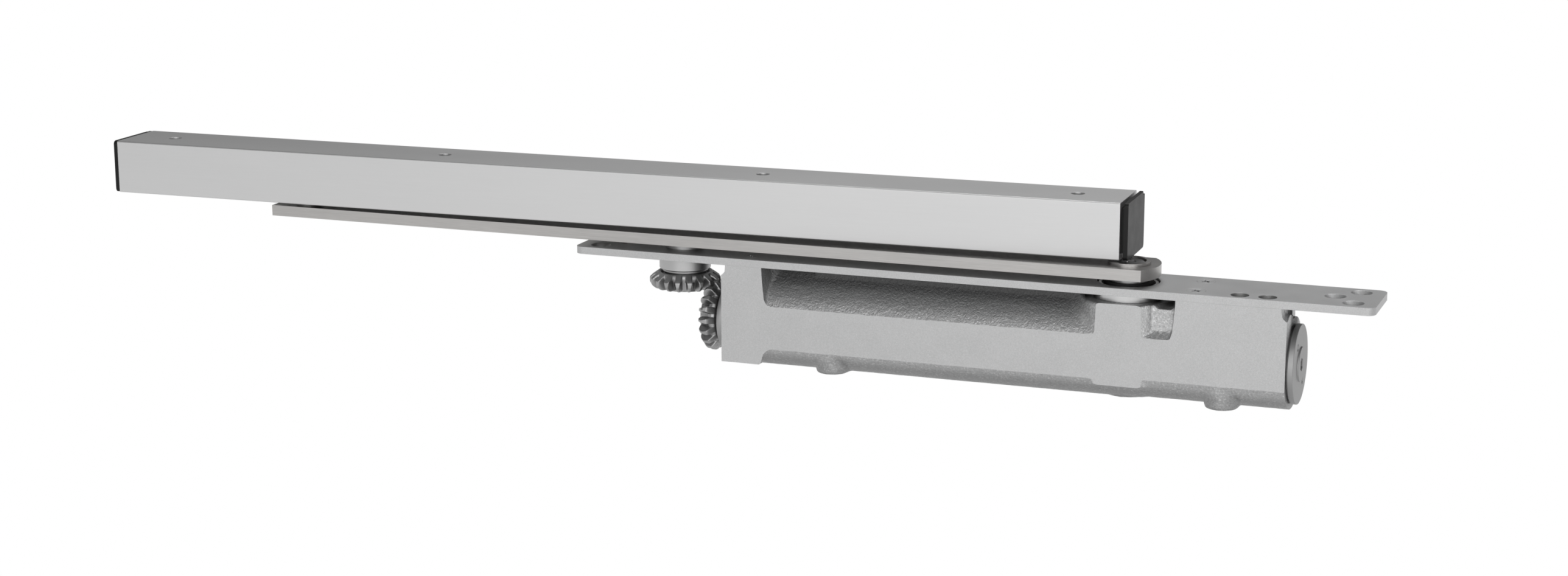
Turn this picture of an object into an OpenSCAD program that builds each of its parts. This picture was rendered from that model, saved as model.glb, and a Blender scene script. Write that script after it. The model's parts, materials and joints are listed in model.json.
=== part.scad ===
// Concealed cam-action door closer with its swing arm, slide block and guide track.
// Origin: centre of the mounting plate's underside, the face that sits on the door.
// X runs along the plate, Y to the back, Z up. Arm and track are in the closed position.

/* [Mounting plate] */
// Plate length along X
plate_l = 324; // [280:1:380]
// Plate width
plate_w = 32; // [30:0.5:40]
// Plate thickness
plate_t = 3; // [2:0.5:5]
// Corner radius of the plate
plate_corner_r = 3.4; // [1:0.2:8]
// Length between the two pairs of fixing holes
fixing_span = 306; // [260:2:360]
// Width between the holes of a pair
fixing_gauge = 19; // [14:0.5:24]
// Step inward from a pair to the single fixing hole
fixing_step = 8.3; // [8:0.1:14]
// Radius of a fixing hole
fixing_r = 2.4; // [1.8:0.1:3]
// Radius of a fixing hole's countersink
fixing_sink_r = 4.1; // [3:0.1:5]
// Radius of a valve access hole
access_r = 3.5; // [2.5:0.1:4.5]

/* [Closer body] */
// Spindle axis along X
spindle_x = 65.5; // [40:0.5:90]
// Body length left of the spindle axis
body_left = 163; // [150:1:180]
// Body length right of the spindle axis
body_right = 64.3; // [60:0.1:80]
// Body width across its flat faces
body_w = 31.5; // [31:0.1:36]
// Depth of the cylinder bore's axis under the plate's top face
bore_depth = 27.4; // [26:0.1:30]
// Radius of the cylinder bore
bore_r = 12.5; // [12:0.1:13]
// Outer radius of the round casting
cast_r = 18; // [17:0.1:20]
// Outer radius of the casting to the right of the spindle
cast_right_r = 17.5; // [16.5:0.1:19]
// Lowest point of the square left block
block_depth = 42.8; // [40:0.2:45]
// Lowest point of the two round feet
foot_depth = 44.8; // [44:0.1:50]
// Radius of a round foot
foot_r = 6.5; // [5:0.1:7]
// Radius of the plug's flange
plug_flange_r = 15.4; // [14:0.1:16]
// Thickness of the plug's flange
plug_flange_t = 2.8; // [2:0.1:5]

/* [Cam and pistons] */
// Arm angle at the open end of the swing
swing_max = 120; // [90:5:130]
// Smallest radius of the cam
cam_low_r = 7; // [6.5:0.1:8]
// Travel of each piston over the whole swing
piston_stroke = 5; // [3:0.5:5]
// Cam thickness
cam_t = 9; // [6:0.5:11]
// Roller radius
roller_r = 5.5; // [4:0.1:6.5]
// Radius of a roller pin
roller_pin_r = 2.2; // [1.8:0.1:2.8]
// Radial clearance of a sliding or turning fit
fit_gap = 0.05; // [0.02:0.01:0.1]

/* [Springs] */
// Wire radius of the closing spring
closing_wire_r = 2.1; // [1.5:0.1:2.4]
// Mean coil radius of the closing spring
closing_coil_r = 9.9; // [9:0.1:10.2]
// Number of curls in the closing spring
closing_turns = 13; // [8:1:16]
// Wire radius of the return spring
return_wire_r = 0.6; // [0.4:0.1:0.8]
// Mean coil radius of the return spring
return_coil_r = 7.6; // [6:0.1:9]
// Number of curls in the return spring
return_turns = 5; // [3:1:6]

/* [Spring adjuster] */
// Teeth on each bevel gear
gear_teeth = 18; // [18:2:20]
// Module of the bevel gears
gear_module = 1.5; // [1.4:0.05:1.6]
// Vertical gear axis, left of the spindle
gear_left = 185.2; // [180:0.2:190]
// Tooth length as a share of the cone distance
gear_face_share = 0.18; // [0.12:0.01:0.25]
// Tooth thinning for backlash, measured at the pitch circle
gear_backlash = 0.3; // [0.1:0.05:0.5]
// Radius of the adjusting screw's thread
adjust_screw_r = 5; // [4:0.1:5.5]
// Travel of the spring nut
nut_travel = 6; // [3:0.5:7]

/* [Arm] */
// Distance between spindle axis and slide pin
arm_reach = 360; // [250:5:380]
// Arm width
arm_w = 25; // [22:0.5:28]
// Arm thickness
arm_t = 4.5; // [4:0.1:6]
// Height of the arm's underside above the plate
arm_lift = 2.35; // [1.8:0.05:4]
// Arm length beyond the slide pin
arm_tail = 11.2; // [9:0.2:15]
// Reach of the rounded nose beyond the spindle axis
arm_nose = 12.2; // [11:0.1:16]
// Height of the nose's curve
arm_nose_rise = 4.6; // [3:0.1:8]
// Radius of the raised round boss on the arm
boss_r = 8.4; // [8:0.1:11]
// Height of the raised boss
boss_h = 1.2; // [0.8:0.1:1.4]
// Radius of the slide pin
slide_pin_r = 4; // [3:0.1:5]

/* [Guide track] */
// Length of the metal channel
track_l = 442; // [350:1:500]
// Channel width
track_w = 29.5; // [27:0.5:34]
// Channel height
track_h = 22.5; // [18:0.5:26]
// Height of the channel's underside above the arm
track_gap = 1.6; // [1.4:0.1:3]
// Wall thickness of the channel
track_wall = 2.4; // [1.8:0.1:3]
// Width of the slot in the channel's underside
slot_w = 13; // [10:0.5:16]
// Distance from the channel's left end to the slide pin
track_back = 85; // [70:1:110]
// Angle between track and plate as drawn
track_yaw = 1.48; // [0:0.01:3]
// Radius of a track fixing hole
track_hole_r = 2.7; // [2:0.1:3.5]
// Span of the outer pair of track fixing holes
track_hole_outer = 402; // [380:2:410]
// Span of the inner pair of track fixing holes
track_hole_inner = 142; // [120:2:200]
// Length of the slide block
slider_l = 34; // [24:1:44]
// End cap thickness
cap_t = 1.7; // [1.2:0.1:3]
// Stand-off of the right end cap from the channel
cap_gap = 1.5; // [0.5:0.1:2.5]

/* [Hidden] */
$fn = 64;
eps = 0.01;

// Levels, all measured from the plate's top face; on_door() turns them to the origin
body_top = -plate_t;
bore_z = -bore_depth;
body_x0 = spindle_x - body_left;
body_x1 = spindle_x + body_right;
hole_y = fixing_gauge / 2;
hole_x = fixing_span / 2;
plate_screw_xs = [spindle_x - 152.4, spindle_x + 28.3];
plate_screw_y = 8.8;
plate_screw_r = 2;
plate_screw_head_r = 3.7;
plate_screw_l = 11;
cross_l = 4.2;
cross_w = 0.9;
cross_depth = 1.4;
valve_xs = [spindle_x + 45.3, spindle_x + 55.8];
valve_y = -10.6;
valve_hole_r = 2.9;
valve_hole_bottom = -18.2;
foot_xs = [spindle_x - 118, spindle_x + 39.3];
foot_y = -8.2;
foot_edge = 0.8;
seat_gap = 0.03;

// Tower around the spindle
tower_top = -6.2;
tower_r = 18.3;
tower_top_r = 18;
base_r = 6.5;
base_foot = -45;
tower_foot = -38.4;
shaft_r = 7.7;
shaft_low_r = 6;
cup_t = 0.8;
needle_r = 1.2;
needle_low_r = 1;
upper_cup_r = shaft_r + 2 * needle_r + 2 * fit_gap + cup_t;
lower_cup_r = shaft_low_r + 2 * needle_low_r + 2 * fit_gap + cup_t;
upper_cup_top = -7.2;
upper_cup_h = 6.8;
lower_cup_top = -37.2;
lower_cup_h = 4.6;
needle_count = 16;
cover_r = 5;
cover_top = -42.4;
cover_bottom = -45.2;
cover_edge = 0.3;
shaft_end = -41.7;
shaft_floor = -41.9;
collar_r = 13.4;
recess_r = 17;
neck_r = 11.6;
shaft_square = 11;
shaft_square_r = 6.9;

// Cam and pistons, measured from the spindle axis
cam_high_r = cam_low_r + piston_stroke;
cam_rate = piston_stroke / swing_max;
spring_roller_x = cam_low_r + roller_r + fit_gap;
damping_roller_x = cam_high_r + roller_r + fit_gap;
piston_r = bore_r - fit_gap;
fork_ahead = 3.1;
spring_piston_back = 34;
damping_piston_back = 36.5;
fork_slot_h = cam_t + 0.8;
plug_inner = 51;
plug_thread_from = 55;
plug_thread_r = 13.4;

// Spring adjuster, measured left of the spindle axis
spring_left = 138;
nut_t = 6;
collar_left = spring_left + nut_t + nut_travel + 1.5;
collar_t = 3;
wall_inner = 157.2;
thrust_t = wall_inner - collar_left - collar_t;
gland_r = 12.6;
gland_t = 2.4;
gland_spigot_r = 9;
gland_spigot_l = 3;
screw_hex = 6.4;
screw_shoulder = 166.8;
screw_end = 177.4;
screw_inner_end = 124;
thrust_collar_r = 8.4;
groove_w = 0.8;
groove_r = 2.7;
gear_clip_left = 176.1;

// Bevel gears
gear_r = gear_module * gear_teeth / 2;
cone_l = gear_r * sqrt(2);
gear_x = spindle_x - gear_left;
heel_r = gear_r + gear_module / sqrt(2);
gear_back = gear_r + 2.7;
toe_scale = 1 - gear_face_share;
gear_bottom = 0.9 * gear_r * toe_scale;
gear_bottom_r = 12.4 * toe_scale;
hub_r = 10.5;
bush_bottom = -8.6;
bush_top = 1.5;
bush_neck_r = 7.7;
gear_shaft_r = 5.4;
gear_shaft_top = 1.2;
clip_top = 1;
clip_t = 0.7;

// Arm and track levels
arm_top = arm_lift + arm_t;
arm_screw_seat = arm_lift + 3.1;
arm_screw_r = 3;
arm_screw_end = -14;
arm_screw_head_r = 6.2;
arm_screw_sink_r = 6.7;
arm_screw_hex = 5;
arm_screw_hex_depth = 2;
head_edge = 0.4;
pin_x = spindle_x - arm_reach;
track_z = arm_top + track_gap;
lip_t = 2.4;
channel_w = track_w - 2 * track_wall;
channel_h = track_h - track_wall - lip_t;
track_hole_xs = [for (s = [-1, 1]) for (d = [track_hole_outer, track_hole_inner])
    track_l / 2 - track_back + s * d / 2];
track_sink = 1.1;
cap_corner_r = 1.6;
insert_l = 10;
slider_gap = 0.15;
slider_head_gap = 0.6;
slider_corner_r = 3;
pin_head_r = 6.9;
pin_head_h = 0.9;

// Sets a piece drawn from the plate's top face on the origin at its underside
module on_door() {
    translate([0, 0, plate_t]) children();
}
// Rod along X between two distances from the spindle axis, on the bore's axis
module bore_rod(x0, x1, r) {
    translate([spindle_x + x0, 0, bore_z]) rotate([0, 90, 0]) cylinder(h = x1 - x0, r = r);
}
// Tube along X on the bore's axis
module bore_ring(x0, x1, r_out, r_in) {
    difference() {
        bore_rod(x0, x1, r_out);
        bore_rod(x0 - 1, x1 + 1, r_in);
    }
}
// Vertical rod between two levels
module post(x, y, z0, z1, r) {
    translate([x, y, z0]) cylinder(h = z1 - z0, r = r);
}
// Straight-sided bar with a centred width
module bar(x0, x1, width, z0, z1) {
    translate([x0, -width / 2, z0]) cube([x1 - x0, width, z1 - z0]);
}
// Outline with rounded corners
module round_outline(l, w, r) {
    square([l - 2 * r, w], center = true);
    square([l, w - 2 * r], center = true);
    for (sx = [-1, 1])
        for (sy = [-1, 1])
            translate([sx * (l / 2 - r), sy * (w / 2 - r)]) circle(r = r);
}
// Hexagonal rod along Z
module hex_post(x, y, z0, z1, across) {
    translate([x, y, z0]) cylinder(h = z1 - z0, r = across / sqrt(3), $fn = 6);
}
// Wire wound along Z as one tube, with a closed and ground turn at each end
rings_per_turn = 16;
wire_sides = 8;
closed_gap = 0.5;
function coil_z(t, turns, length, pitch_end) =
    t < 1 ? pitch_end * t :
    t > turns - 1 ? length - pitch_end * (turns - t) :
    pitch_end + (length - 2 * pitch_end) * (t - 1) / (turns - 2);
function wire_point(i, s, turns, length, coil_r, wire_r) =
    let (t = i / rings_per_turn, a = 360 * t, b = 360 * s / wire_sides, reach = coil_r + wire_r * cos(b))
    [reach * cos(a), reach * sin(a), coil_z(t, turns, length, 2 * wire_r + closed_gap) + wire_r * sin(b)];
module coil(turns, length, coil_r, wire_r) {
    last = turns * rings_per_turn;
    points = [for (i = [0 : last]) for (s = [0 : wire_sides - 1])
        wire_point(i, s, turns, length, coil_r, wire_r)];
    sides = [for (i = [0 : last - 1]) for (s = [0 : wire_sides - 1])
        let (n = (s + 1) % wire_sides, a = i * wire_sides, b = a + wire_sides)
        [a + s, a + n, b + n, b + s]];
    start = [[for (s = [wire_sides - 1 : -1 : 0]) s]];
    end = [[for (s = [0 : wire_sides - 1]) last * wire_sides + s]];
    polyhedron(points = points, faces = concat(sides, start, end), convexity = 10);
}
module spring(length, turns, coil_r, wire_r) {
    intersection() {
        coil(turns, length, coil_r, wire_r);
        cylinder(h = length, r = coil_r + 2 * wire_r);
    }
}

// Mounting plate
module mounting_plate() {
    color("Silver") on_door() difference() {
        translate([0, 0, -plate_t]) linear_extrude(plate_t)
            round_outline(plate_l, plate_w, plate_corner_r);
        for (sx = [-1, 1]) {
            for (sy = [-1, 1]) sunk_hole(sx * hole_x, sy * hole_y, fixing_r, fixing_sink_r);
            sunk_hole(sx * (hole_x - fixing_step), 0, fixing_r, fixing_sink_r);
        }
        for (x = plate_screw_xs)
            for (sy = [-1, 1])
                sunk_hole(x, sy * plate_screw_y, plate_screw_r + 0.2, plate_screw_head_r + seat_gap);
        for (x = valve_xs) post(x, valve_y, -plate_t - 1, 1, access_r);
        post(spindle_x, 0, -plate_t - 1, 1, neck_r + 0.6);
        post(gear_x, 0, -plate_t - 1, 1, bush_neck_r + seat_gap);
    }
}
// Through hole with a countersink open at the plate's top face
module sunk_hole(x, y, r, sink_r) {
    post(x, y, -plate_t - 1, 1, r);
    translate([x, y, r - sink_r]) cylinder(h = sink_r - r + eps, r1 = r, r2 = sink_r + eps);
}
// Screws between plate and body, flush with the plate
module plate_screws() {
    color("LightGray") on_door() for (x = plate_screw_xs)
        for (sy = [-1, 1]) translate([x, sy * plate_screw_y, 0]) difference() {
            union() {
                translate([0, 0, -plate_screw_l]) cylinder(h = plate_screw_l, r = plate_screw_r);
                translate([0, 0, plate_screw_r - plate_screw_head_r])
                    cylinder(h = plate_screw_head_r - plate_screw_r,
                        r1 = plate_screw_r, r2 = plate_screw_head_r);
            }
            for (a = [45, 135]) rotate([0, 0, a]) translate([0, 0, -cross_depth])
                bar(-cross_l / 2, cross_l / 2, cross_w, 0, 2 * cross_depth);
        }
}

// Closer body casting
module closer_body() {
    color("Gainsboro") on_door() difference() {
        intersection() {
            body_mass();
            bar(body_x0, body_x1, body_w, -60, body_top);
        }
        body_bores();
        // Hollows at the two upper end corners
        translate([body_x0 - 2.2, 0, -3.5]) rotate([90, 0, 0]) cylinder(h = 40, r = 4.3, center = true);
        end_scoop();
    }
}
// Upper right corner cut back to the round casting, with one rounded ridge left standing
module end_scoop() {
    difference() {
        union() {
            translate([body_x1 + 2, 0, -4]) rotate([90, 0, 0]) cylinder(h = 40, r = 4.4, center = true);
            translate([body_x1 - 2.6, -3, -20]) cube([4, 24, 18]);
        }
        translate([body_x1 - 6, -9.2, -12.5]) rotate([0, 90, 0]) cylinder(h = 12, r = 6);
        bore_rod(body_right - 6, body_right + 6, cast_r);
    }
}
module body_mass() {
    // Round casting
    bore_rod(-body_left, 9, cast_r);
    bore_rod(8, body_right, cast_right_r);
    // Square block at the gear end
    translate([0, body_w / 2, 0]) rotate([90, 0, 0]) linear_extrude(body_w) polygon([
        [body_x0, body_top], [body_x0 + 16.9, body_top], [body_x0 + 17.9, -15],
        [body_x0 + 19.6, -18.9], [body_x0 + 19.6, -36.4], [body_x0 + 18, -38.4],
        [body_x0 + 16.7, -block_depth], [body_x0, -block_depth]]);
    // Block above the damping chamber
    translate([0, body_w / 2, 0]) rotate([90, 0, 0]) linear_extrude(body_w) polygon([
        [body_x1, body_top], [spindle_x + 21.8, body_top], [spindle_x + 21.3, -11],
        [spindle_x + 20.4, -16.5], [spindle_x + 18.8, -19.3], [spindle_x + 18.8, -30], [body_x1, -30]]);
    // Spindle tower
    translate([spindle_x, 0, bore_z]) cylinder(h = tower_top - bore_z, r1 = tower_r, r2 = tower_top_r);
    translate([spindle_x, 0, tower_foot]) cylinder(h = bore_z - tower_foot, r = tower_top_r);
    post(spindle_x, 0, base_foot, tower_foot, base_r);
    // Wall between the tower and the right block
    bar(spindle_x, spindle_x + 24, 24.6, bore_z, -7.2);
    // Ridge along the top with its smooth pad
    bar(body_x0 + 10, spindle_x, 9, bore_z, body_top);
    bar(spindle_x - 126.6, spindle_x - 12, 10.2, -8, body_top);
    // Round feet
    for (x = foot_xs) {
        post(x, foot_y, -foot_depth + foot_edge, bore_z, foot_r);
        translate([x, foot_y, -foot_depth]) cylinder(h = foot_edge, r1 = foot_r - foot_edge, r2 = foot_r);
    }
}
module body_bores() {
    bore_rod(-wall_inner, body_right + 1, bore_r);
    bore_rod(plug_thread_from, body_right + 1, plug_thread_r + seat_gap);
    bore_rod(-body_left - 1, -wall_inner + 1, adjust_screw_r + 0.4);
    bore_rod(-body_left - 1, -body_left + gland_spigot_l, gland_spigot_r + seat_gap);
    // Keyway that stops the spring nut from turning
    translate([spindle_x - wall_inner, -1.5, bore_z - bore_r - 1.3]) cube([30, 3, 3]);
    // Spindle bearings, collar recess, cam chamber and bottom cover
    post(spindle_x, 0, tower_top, 1, recess_r);
    post(spindle_x, 0, bore_z - cam_t / 2 - 0.6, bore_z + cam_t / 2 + 0.6, cam_high_r + 0.6);
    post(spindle_x, 0, bore_z, 1, upper_cup_r + seat_gap);
    post(spindle_x, 0, shaft_floor, bore_z, lower_cup_r + seat_gap);
    post(spindle_x, 0, -60, bore_z, cover_r + seat_gap);
    // Regulating valves
    for (x = valve_xs) {
        post(x, valve_y, valve_hole_bottom, 1, valve_hole_r);
        post(x, valve_y, -5, 1, access_r);
    }
    // Plate screws
    for (x = plate_screw_xs)
        for (sy = [-1, 1]) post(x, sy * plate_screw_y, -plate_screw_l - 1, 1, plate_screw_r + seat_gap);
}

// Threaded plug that closes the damping end
module end_plug() {
    hex_across = 4.6;
    face = body_right + plug_flange_t;
    undercut_t = 0.6;
    undercut_r = 14.3;
    disc_r = 6.7;
    disc_t = 0.6;
    pin_ring_r = 9.6;
    color("LightGray") on_door() difference() {
        union() {
            bore_rod(body_right + undercut_t, face, plug_flange_r);
            bore_rod(body_right, face - 1, undercut_r);
            bore_rod(face - 1, face + disc_t, disc_r);
            bore_rod(plug_thread_from + 0.2, body_right + 0.1, plug_thread_r);
            bore_rod(plug_inner, plug_thread_from + 0.3, bore_r - fit_gap);
        }
        bore_ring(52, 54, 20, 11);
        // Hexagon socket in a raised disc
        translate([spindle_x + face - 4, 0, bore_z]) rotate([0, 90, 0])
            cylinder(h = 7, r = hex_across / sqrt(3), $fn = 6);
        // Pin holes
        for (a = [127, -53]) translate([spindle_x + face, 0, bore_z]) rotate([a, 0, 0])
            translate([-2, pin_ring_r, 0]) rotate([0, 90, 0]) cylinder(h = 3, r = 1.4);
        // Hollow inner face that holds the return spring
        bore_ring(plug_inner - 1, plug_inner + 0.8, return_coil_r + 1, return_coil_r - 1);
    }
}
// Rubber ring around a rod on the bore's axis
module bore_o_ring(x, ring_r, wire_r) {
    translate([spindle_x + x, 0, bore_z]) rotate([0, 90, 0]) rotate_extrude()
        translate([ring_r, 0]) circle(r = wire_r, $fn = 32);
}
module end_plug_seal() {
    color("Black") on_door() bore_o_ring(53, 11.72, 0.7);
}

// Spindle with its cam in one piece
function cam_pitch(a) =
    let (t = (a + 720) % 360)
    t < 180 - swing_max ? damping_roller_x :
    t <= 180 ? spring_roller_x + cam_rate * (180 - t) :
    t < 360 - swing_max ? spring_roller_x : damping_roller_x - cam_rate * (360 - t);
function cam_slope(a) =
    let (t = (a + 720) % 360)
    t < 180 - swing_max || (t > 180 && t < 360 - swing_max) ? 0 : (t <= 180 ? -1 : 1) * cam_rate * 180 / PI;
function cam_point(a) =
    let (r = cam_pitch(a), d = cam_slope(a), n = sqrt(r * r + d * d), w = roller_r + fit_gap)
    [r * cos(a) - w * (r * cos(a) + d * sin(a)) / n, r * sin(a) - w * (r * sin(a) - d * cos(a)) / n];
module camshaft() {
    color("DarkGray") on_door() difference() {
        union() {
            post(spindle_x, 0, bore_z, bore_z + cam_t, cam_low_r - 0.2);
            post(spindle_x, 0, bore_z + cam_t / 2 + 0.3, arm_lift - 0.4, shaft_r);
            post(spindle_x, 0, shaft_end, bore_z, shaft_low_r);
            translate([spindle_x, 0, bore_z - cam_t / 2]) linear_extrude(cam_t)
                polygon([for (i = [0 : 119]) cam_point(i * 3)]);
            // Squared top that carries the arm
            intersection() {
                post(spindle_x, 0, arm_lift - 1, arm_screw_seat - 0.15, shaft_square_r);
                translate([spindle_x, 0, 0])
                    cube([shaft_square, shaft_square, 4 * arm_screw_seat], center = true);
            }
        }
        post(spindle_x, 0, arm_screw_end - 2, 2 * arm_top, arm_screw_r + seat_gap);
    }
}

// Needle bearings of the spindle
module bearing_cup(z_top, h, r_out, lip) {
    difference() {
        post(spindle_x, 0, z_top - h, z_top, r_out);
        post(spindle_x, 0, z_top - h + 0.7, z_top - 0.7, r_out - cup_t);
        post(spindle_x, 0, z_top - h - 1, z_top + 1, r_out - cup_t - lip);
    }
}
module needles(z_top, h, ring_r, r) {
    for (i = [0 : needle_count - 1])
        translate([spindle_x, 0, 0]) rotate([0, 0, i * 360 / needle_count])
            post(ring_r, 0, z_top - h + 0.8, z_top - 0.8, r);
}
module upper_bearing_cup() {
    color("SteelBlue") on_door() bearing_cup(upper_cup_top, upper_cup_h, upper_cup_r, 1.2);
}
module upper_bearing_needles() {
    color("WhiteSmoke") on_door() needles(upper_cup_top, upper_cup_h, shaft_r + needle_r + fit_gap, needle_r);
}
module lower_bearing_cup() {
    color("SteelBlue") on_door() bearing_cup(lower_cup_top, lower_cup_h, lower_cup_r, 1);
}
module lower_bearing_needles() {
    color("WhiteSmoke") on_door()
        needles(lower_cup_top, lower_cup_h, shaft_low_r + needle_low_r + fit_gap, needle_low_r);
}

// Collar between tower and plate, with a neck through the plate
module bearing_collar() {
    color("Silver") on_door() difference() {
        union() {
            post(spindle_x, 0, tower_top, body_top, collar_r);
            post(spindle_x, 0, body_top - 1, -0.5, neck_r);
            post(spindle_x, 0, upper_cup_top + 0.05, tower_top + 1, upper_cup_r - seat_gap);
        }
        post(spindle_x, 0, -10, 2, shaft_r + 0.35);
        post(spindle_x, 0, -4.2, 2, 10.4);
    }
}
// Lip seal around the spindle
module spindle_seal() {
    color("Black") on_door() difference() {
        union() {
            post(spindle_x, 0, -4.15, -0.6, 10.35);
            post(spindle_x, 0, -0.7, 0.4, 9.6);
        }
        post(spindle_x, 0, -10, 2, shaft_r + 0.1);
        post(spindle_x, 0, -10, -3.5, 9.2);
    }
}
// Screwed cover under the spindle
module bottom_cover() {
    color("Silver") on_door() difference() {
        union() {
            post(spindle_x, 0, cover_bottom + cover_edge, cover_top, cover_r);
            translate([spindle_x, 0, cover_bottom])
                cylinder(h = cover_edge, r1 = cover_r - cover_edge, r2 = cover_r);
        }
        hex_post(spindle_x, 0, cover_bottom - 1, cover_bottom + 1.6, 4);
    }
}

// Piston facing the cam; dir is 1 on the damping side and -1 on the spring side
module piston(dir, roller_x, back_x) {
    front = roller_x - fork_ahead;
    slot_l = roller_r + fork_ahead + 1.6;
    difference() {
        if (dir > 0) bore_rod(front, back_x, piston_r);
        else bore_rod(-back_x, -front, piston_r);
        // Fork slot for roller and cam
        translate([spindle_x + dir * (front + slot_l / 2 - 1), 0, bore_z])
            cube([slot_l, 40, fork_slot_h], center = true);
        // Roller pin hole
        post(spindle_x + dir * roller_x, 0, bore_z - 11, bore_z + 11, roller_pin_r + seat_gap);
    }
}
module damping_piston() {
    ball_x = damping_piston_back;
    color("Silver") on_door() difference() {
        piston(1, damping_roller_x, damping_piston_back);
        // Seal groove and oil passage with its ball seat
        bore_ring(31, 33, 20, 10.9);
        bore_rod(20, damping_piston_back + 1, 1.2);
        bore_rod(ball_x - 4.5, ball_x + 1, 2.2);
    }
}
module damping_piston_seal() {
    color("Black") on_door() bore_o_ring(32, 11.64, 0.7);
}
module check_valve_ball() {
    color("LightSteelBlue") on_door()
        translate([spindle_x + damping_piston_back - 2.6, 0, bore_z]) sphere(r = 1.8);
}
module roller(x) {
    difference() {
        post(spindle_x + x, 0, bore_z - cam_t / 2 - 0.1, bore_z + cam_t / 2 + 0.1, roller_r);
        post(spindle_x + x, 0, bore_z - 20, bore_z + 20, roller_pin_r + fit_gap);
    }
}
module roller_pin(x) {
    post(spindle_x + x, 0, bore_z - 10.6, bore_z + 10.6, roller_pin_r);
}
module damping_roller() {
    color("LightSlateGray") on_door() roller(damping_roller_x);
}
module damping_roller_pin() {
    color("Gray") on_door() roller_pin(damping_roller_x);
}
module return_spring() {
    color("SlateGray") on_door() translate([spindle_x + damping_piston_back, 0, bore_z]) rotate([0, 90, 0])
        spring(plug_inner - damping_piston_back + 0.75, return_turns, return_coil_r, return_wire_r);
}
module spring_piston() {
    color("Silver") on_door() difference() {
        piston(-1, spring_roller_x, spring_piston_back);
        // Recess that lets the end of the adjusting screw in
        bore_rod(-spring_piston_back - 1, -spring_piston_back + 6, adjust_screw_r + 1.2);
    }
}
module spring_roller() {
    color("LightSlateGray") on_door() roller(-spring_roller_x);
}
module spring_roller_pin() {
    color("Gray") on_door() roller_pin(-spring_roller_x);
}
module closing_spring() {
    color("SlateGray") on_door() translate([spindle_x - spring_left, 0, bore_z]) rotate([0, 90, 0])
        spring(spring_left - spring_piston_back, closing_turns, closing_coil_r, closing_wire_r);
}

// Nut that loads the closing spring
module spring_nut() {
    color("DarkKhaki") on_door() difference() {
        union() {
            bore_rod(-spring_left - nut_t, -spring_left, bore_r - 0.1);
            translate([spindle_x - spring_left - nut_t, -1.4, bore_z - bore_r - 1.1]) cube([nut_t, 2.8, 3]);
        }
        bore_rod(-spring_left - nut_t - 1, -spring_left + 1, adjust_screw_r + fit_gap);
    }
}
// Screw that moves the nut, with its thrust collar and hexagon end
module adjusting_screw() {
    color("DarkGray") on_door() difference() {
        union() {
            bore_rod(-screw_shoulder, -screw_inner_end, adjust_screw_r);
            bore_rod(-collar_left - collar_t, -collar_left, thrust_collar_r);
            translate([spindle_x - screw_end, 0, bore_z]) rotate([0, 90, 0])
                cylinder(h = screw_end - screw_shoulder + 1, r = screw_hex / sqrt(3), $fn = 6);
        }
        bore_ring(-gear_clip_left - 0.05, -gear_clip_left - 0.05 + groove_w, screw_hex, groove_r);
    }
}
module thrust_bearing() {
    color("SteelBlue") on_door()
        bore_ring(-wall_inner, -wall_inner + thrust_t - 0.02, 9.6, adjust_screw_r + 0.3);
}
module end_gland() {
    color("Silver") on_door() difference() {
        union() {
            bore_rod(-body_left - gland_t, -body_left, gland_r);
            bore_rod(-body_left - 0.1, -body_left + gland_spigot_l - 0.1, gland_spigot_r);
        }
        bore_rod(-body_left - 10, -body_left + 10, adjust_screw_r + fit_gap);
        bore_rod(-body_left + 0.6, -body_left + 10, adjust_screw_r + 1.5);
    }
}
module screw_seal() {
    color("Black") on_door() bore_o_ring(-body_left + 1.5, adjust_screw_r + 0.76, 0.7);
}

// Bevel gear with its cone point at the origin and its back along +Z
function tooth_half(rv) =
    let (vr = cone_l, base = vr * cos(20), c = rv <= base ? 1 : base / rv,
        alpha = acos(c), inv = tan(alpha) * 180 / PI - alpha, inv20 = tan(20) * 180 / PI - 20,
        half = 90 / gear_teeth * cos(45) - gear_backlash / 4 / vr * 180 / PI)
    half + inv20 - inv;
function tooth_polar(rv) =
    [gear_r * rv * sin(45) / (2 * gear_r - rv * cos(45)), tooth_half(rv) / cos(45)];
tooth_top = cone_l + gear_module;
tooth_low = cone_l - 1.2 * gear_module;
tooth_steps = 6;
function flank_radius(i) = tooth_low + (tooth_top - tooth_low) * i / tooth_steps;
function gear_profile() = [for (t = [0 : gear_teeth - 1]) each concat(
    [for (i = [0 : tooth_steps]) let (p = tooth_polar(flank_radius(i)), a = t * 360 / gear_teeth - p[1])
        [p[0] * cos(a), p[0] * sin(a)]],
    [for (i = [tooth_steps : -1 : 0]) let (p = tooth_polar(flank_radius(i)), a = t * 360 / gear_teeth + p[1])
        [p[0] * cos(a), p[0] * sin(a)]])];
module bevel_teeth() {
    grow = 1.35;
    intersection() {
        translate([0, 0, gear_r * grow]) mirror([0, 0, 1])
            linear_extrude(height = gear_r * grow, scale = 0) scale(grow) polygon(gear_profile());
        rotate_extrude() polygon([
            [0, gear_back], [gear_r - 1.3, gear_back], [heel_r, gear_back - 1.2],
            [heel_r, gear_r * toe_scale], [gear_bottom_r, gear_bottom], [0, gear_bottom]]);
    }
}
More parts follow.
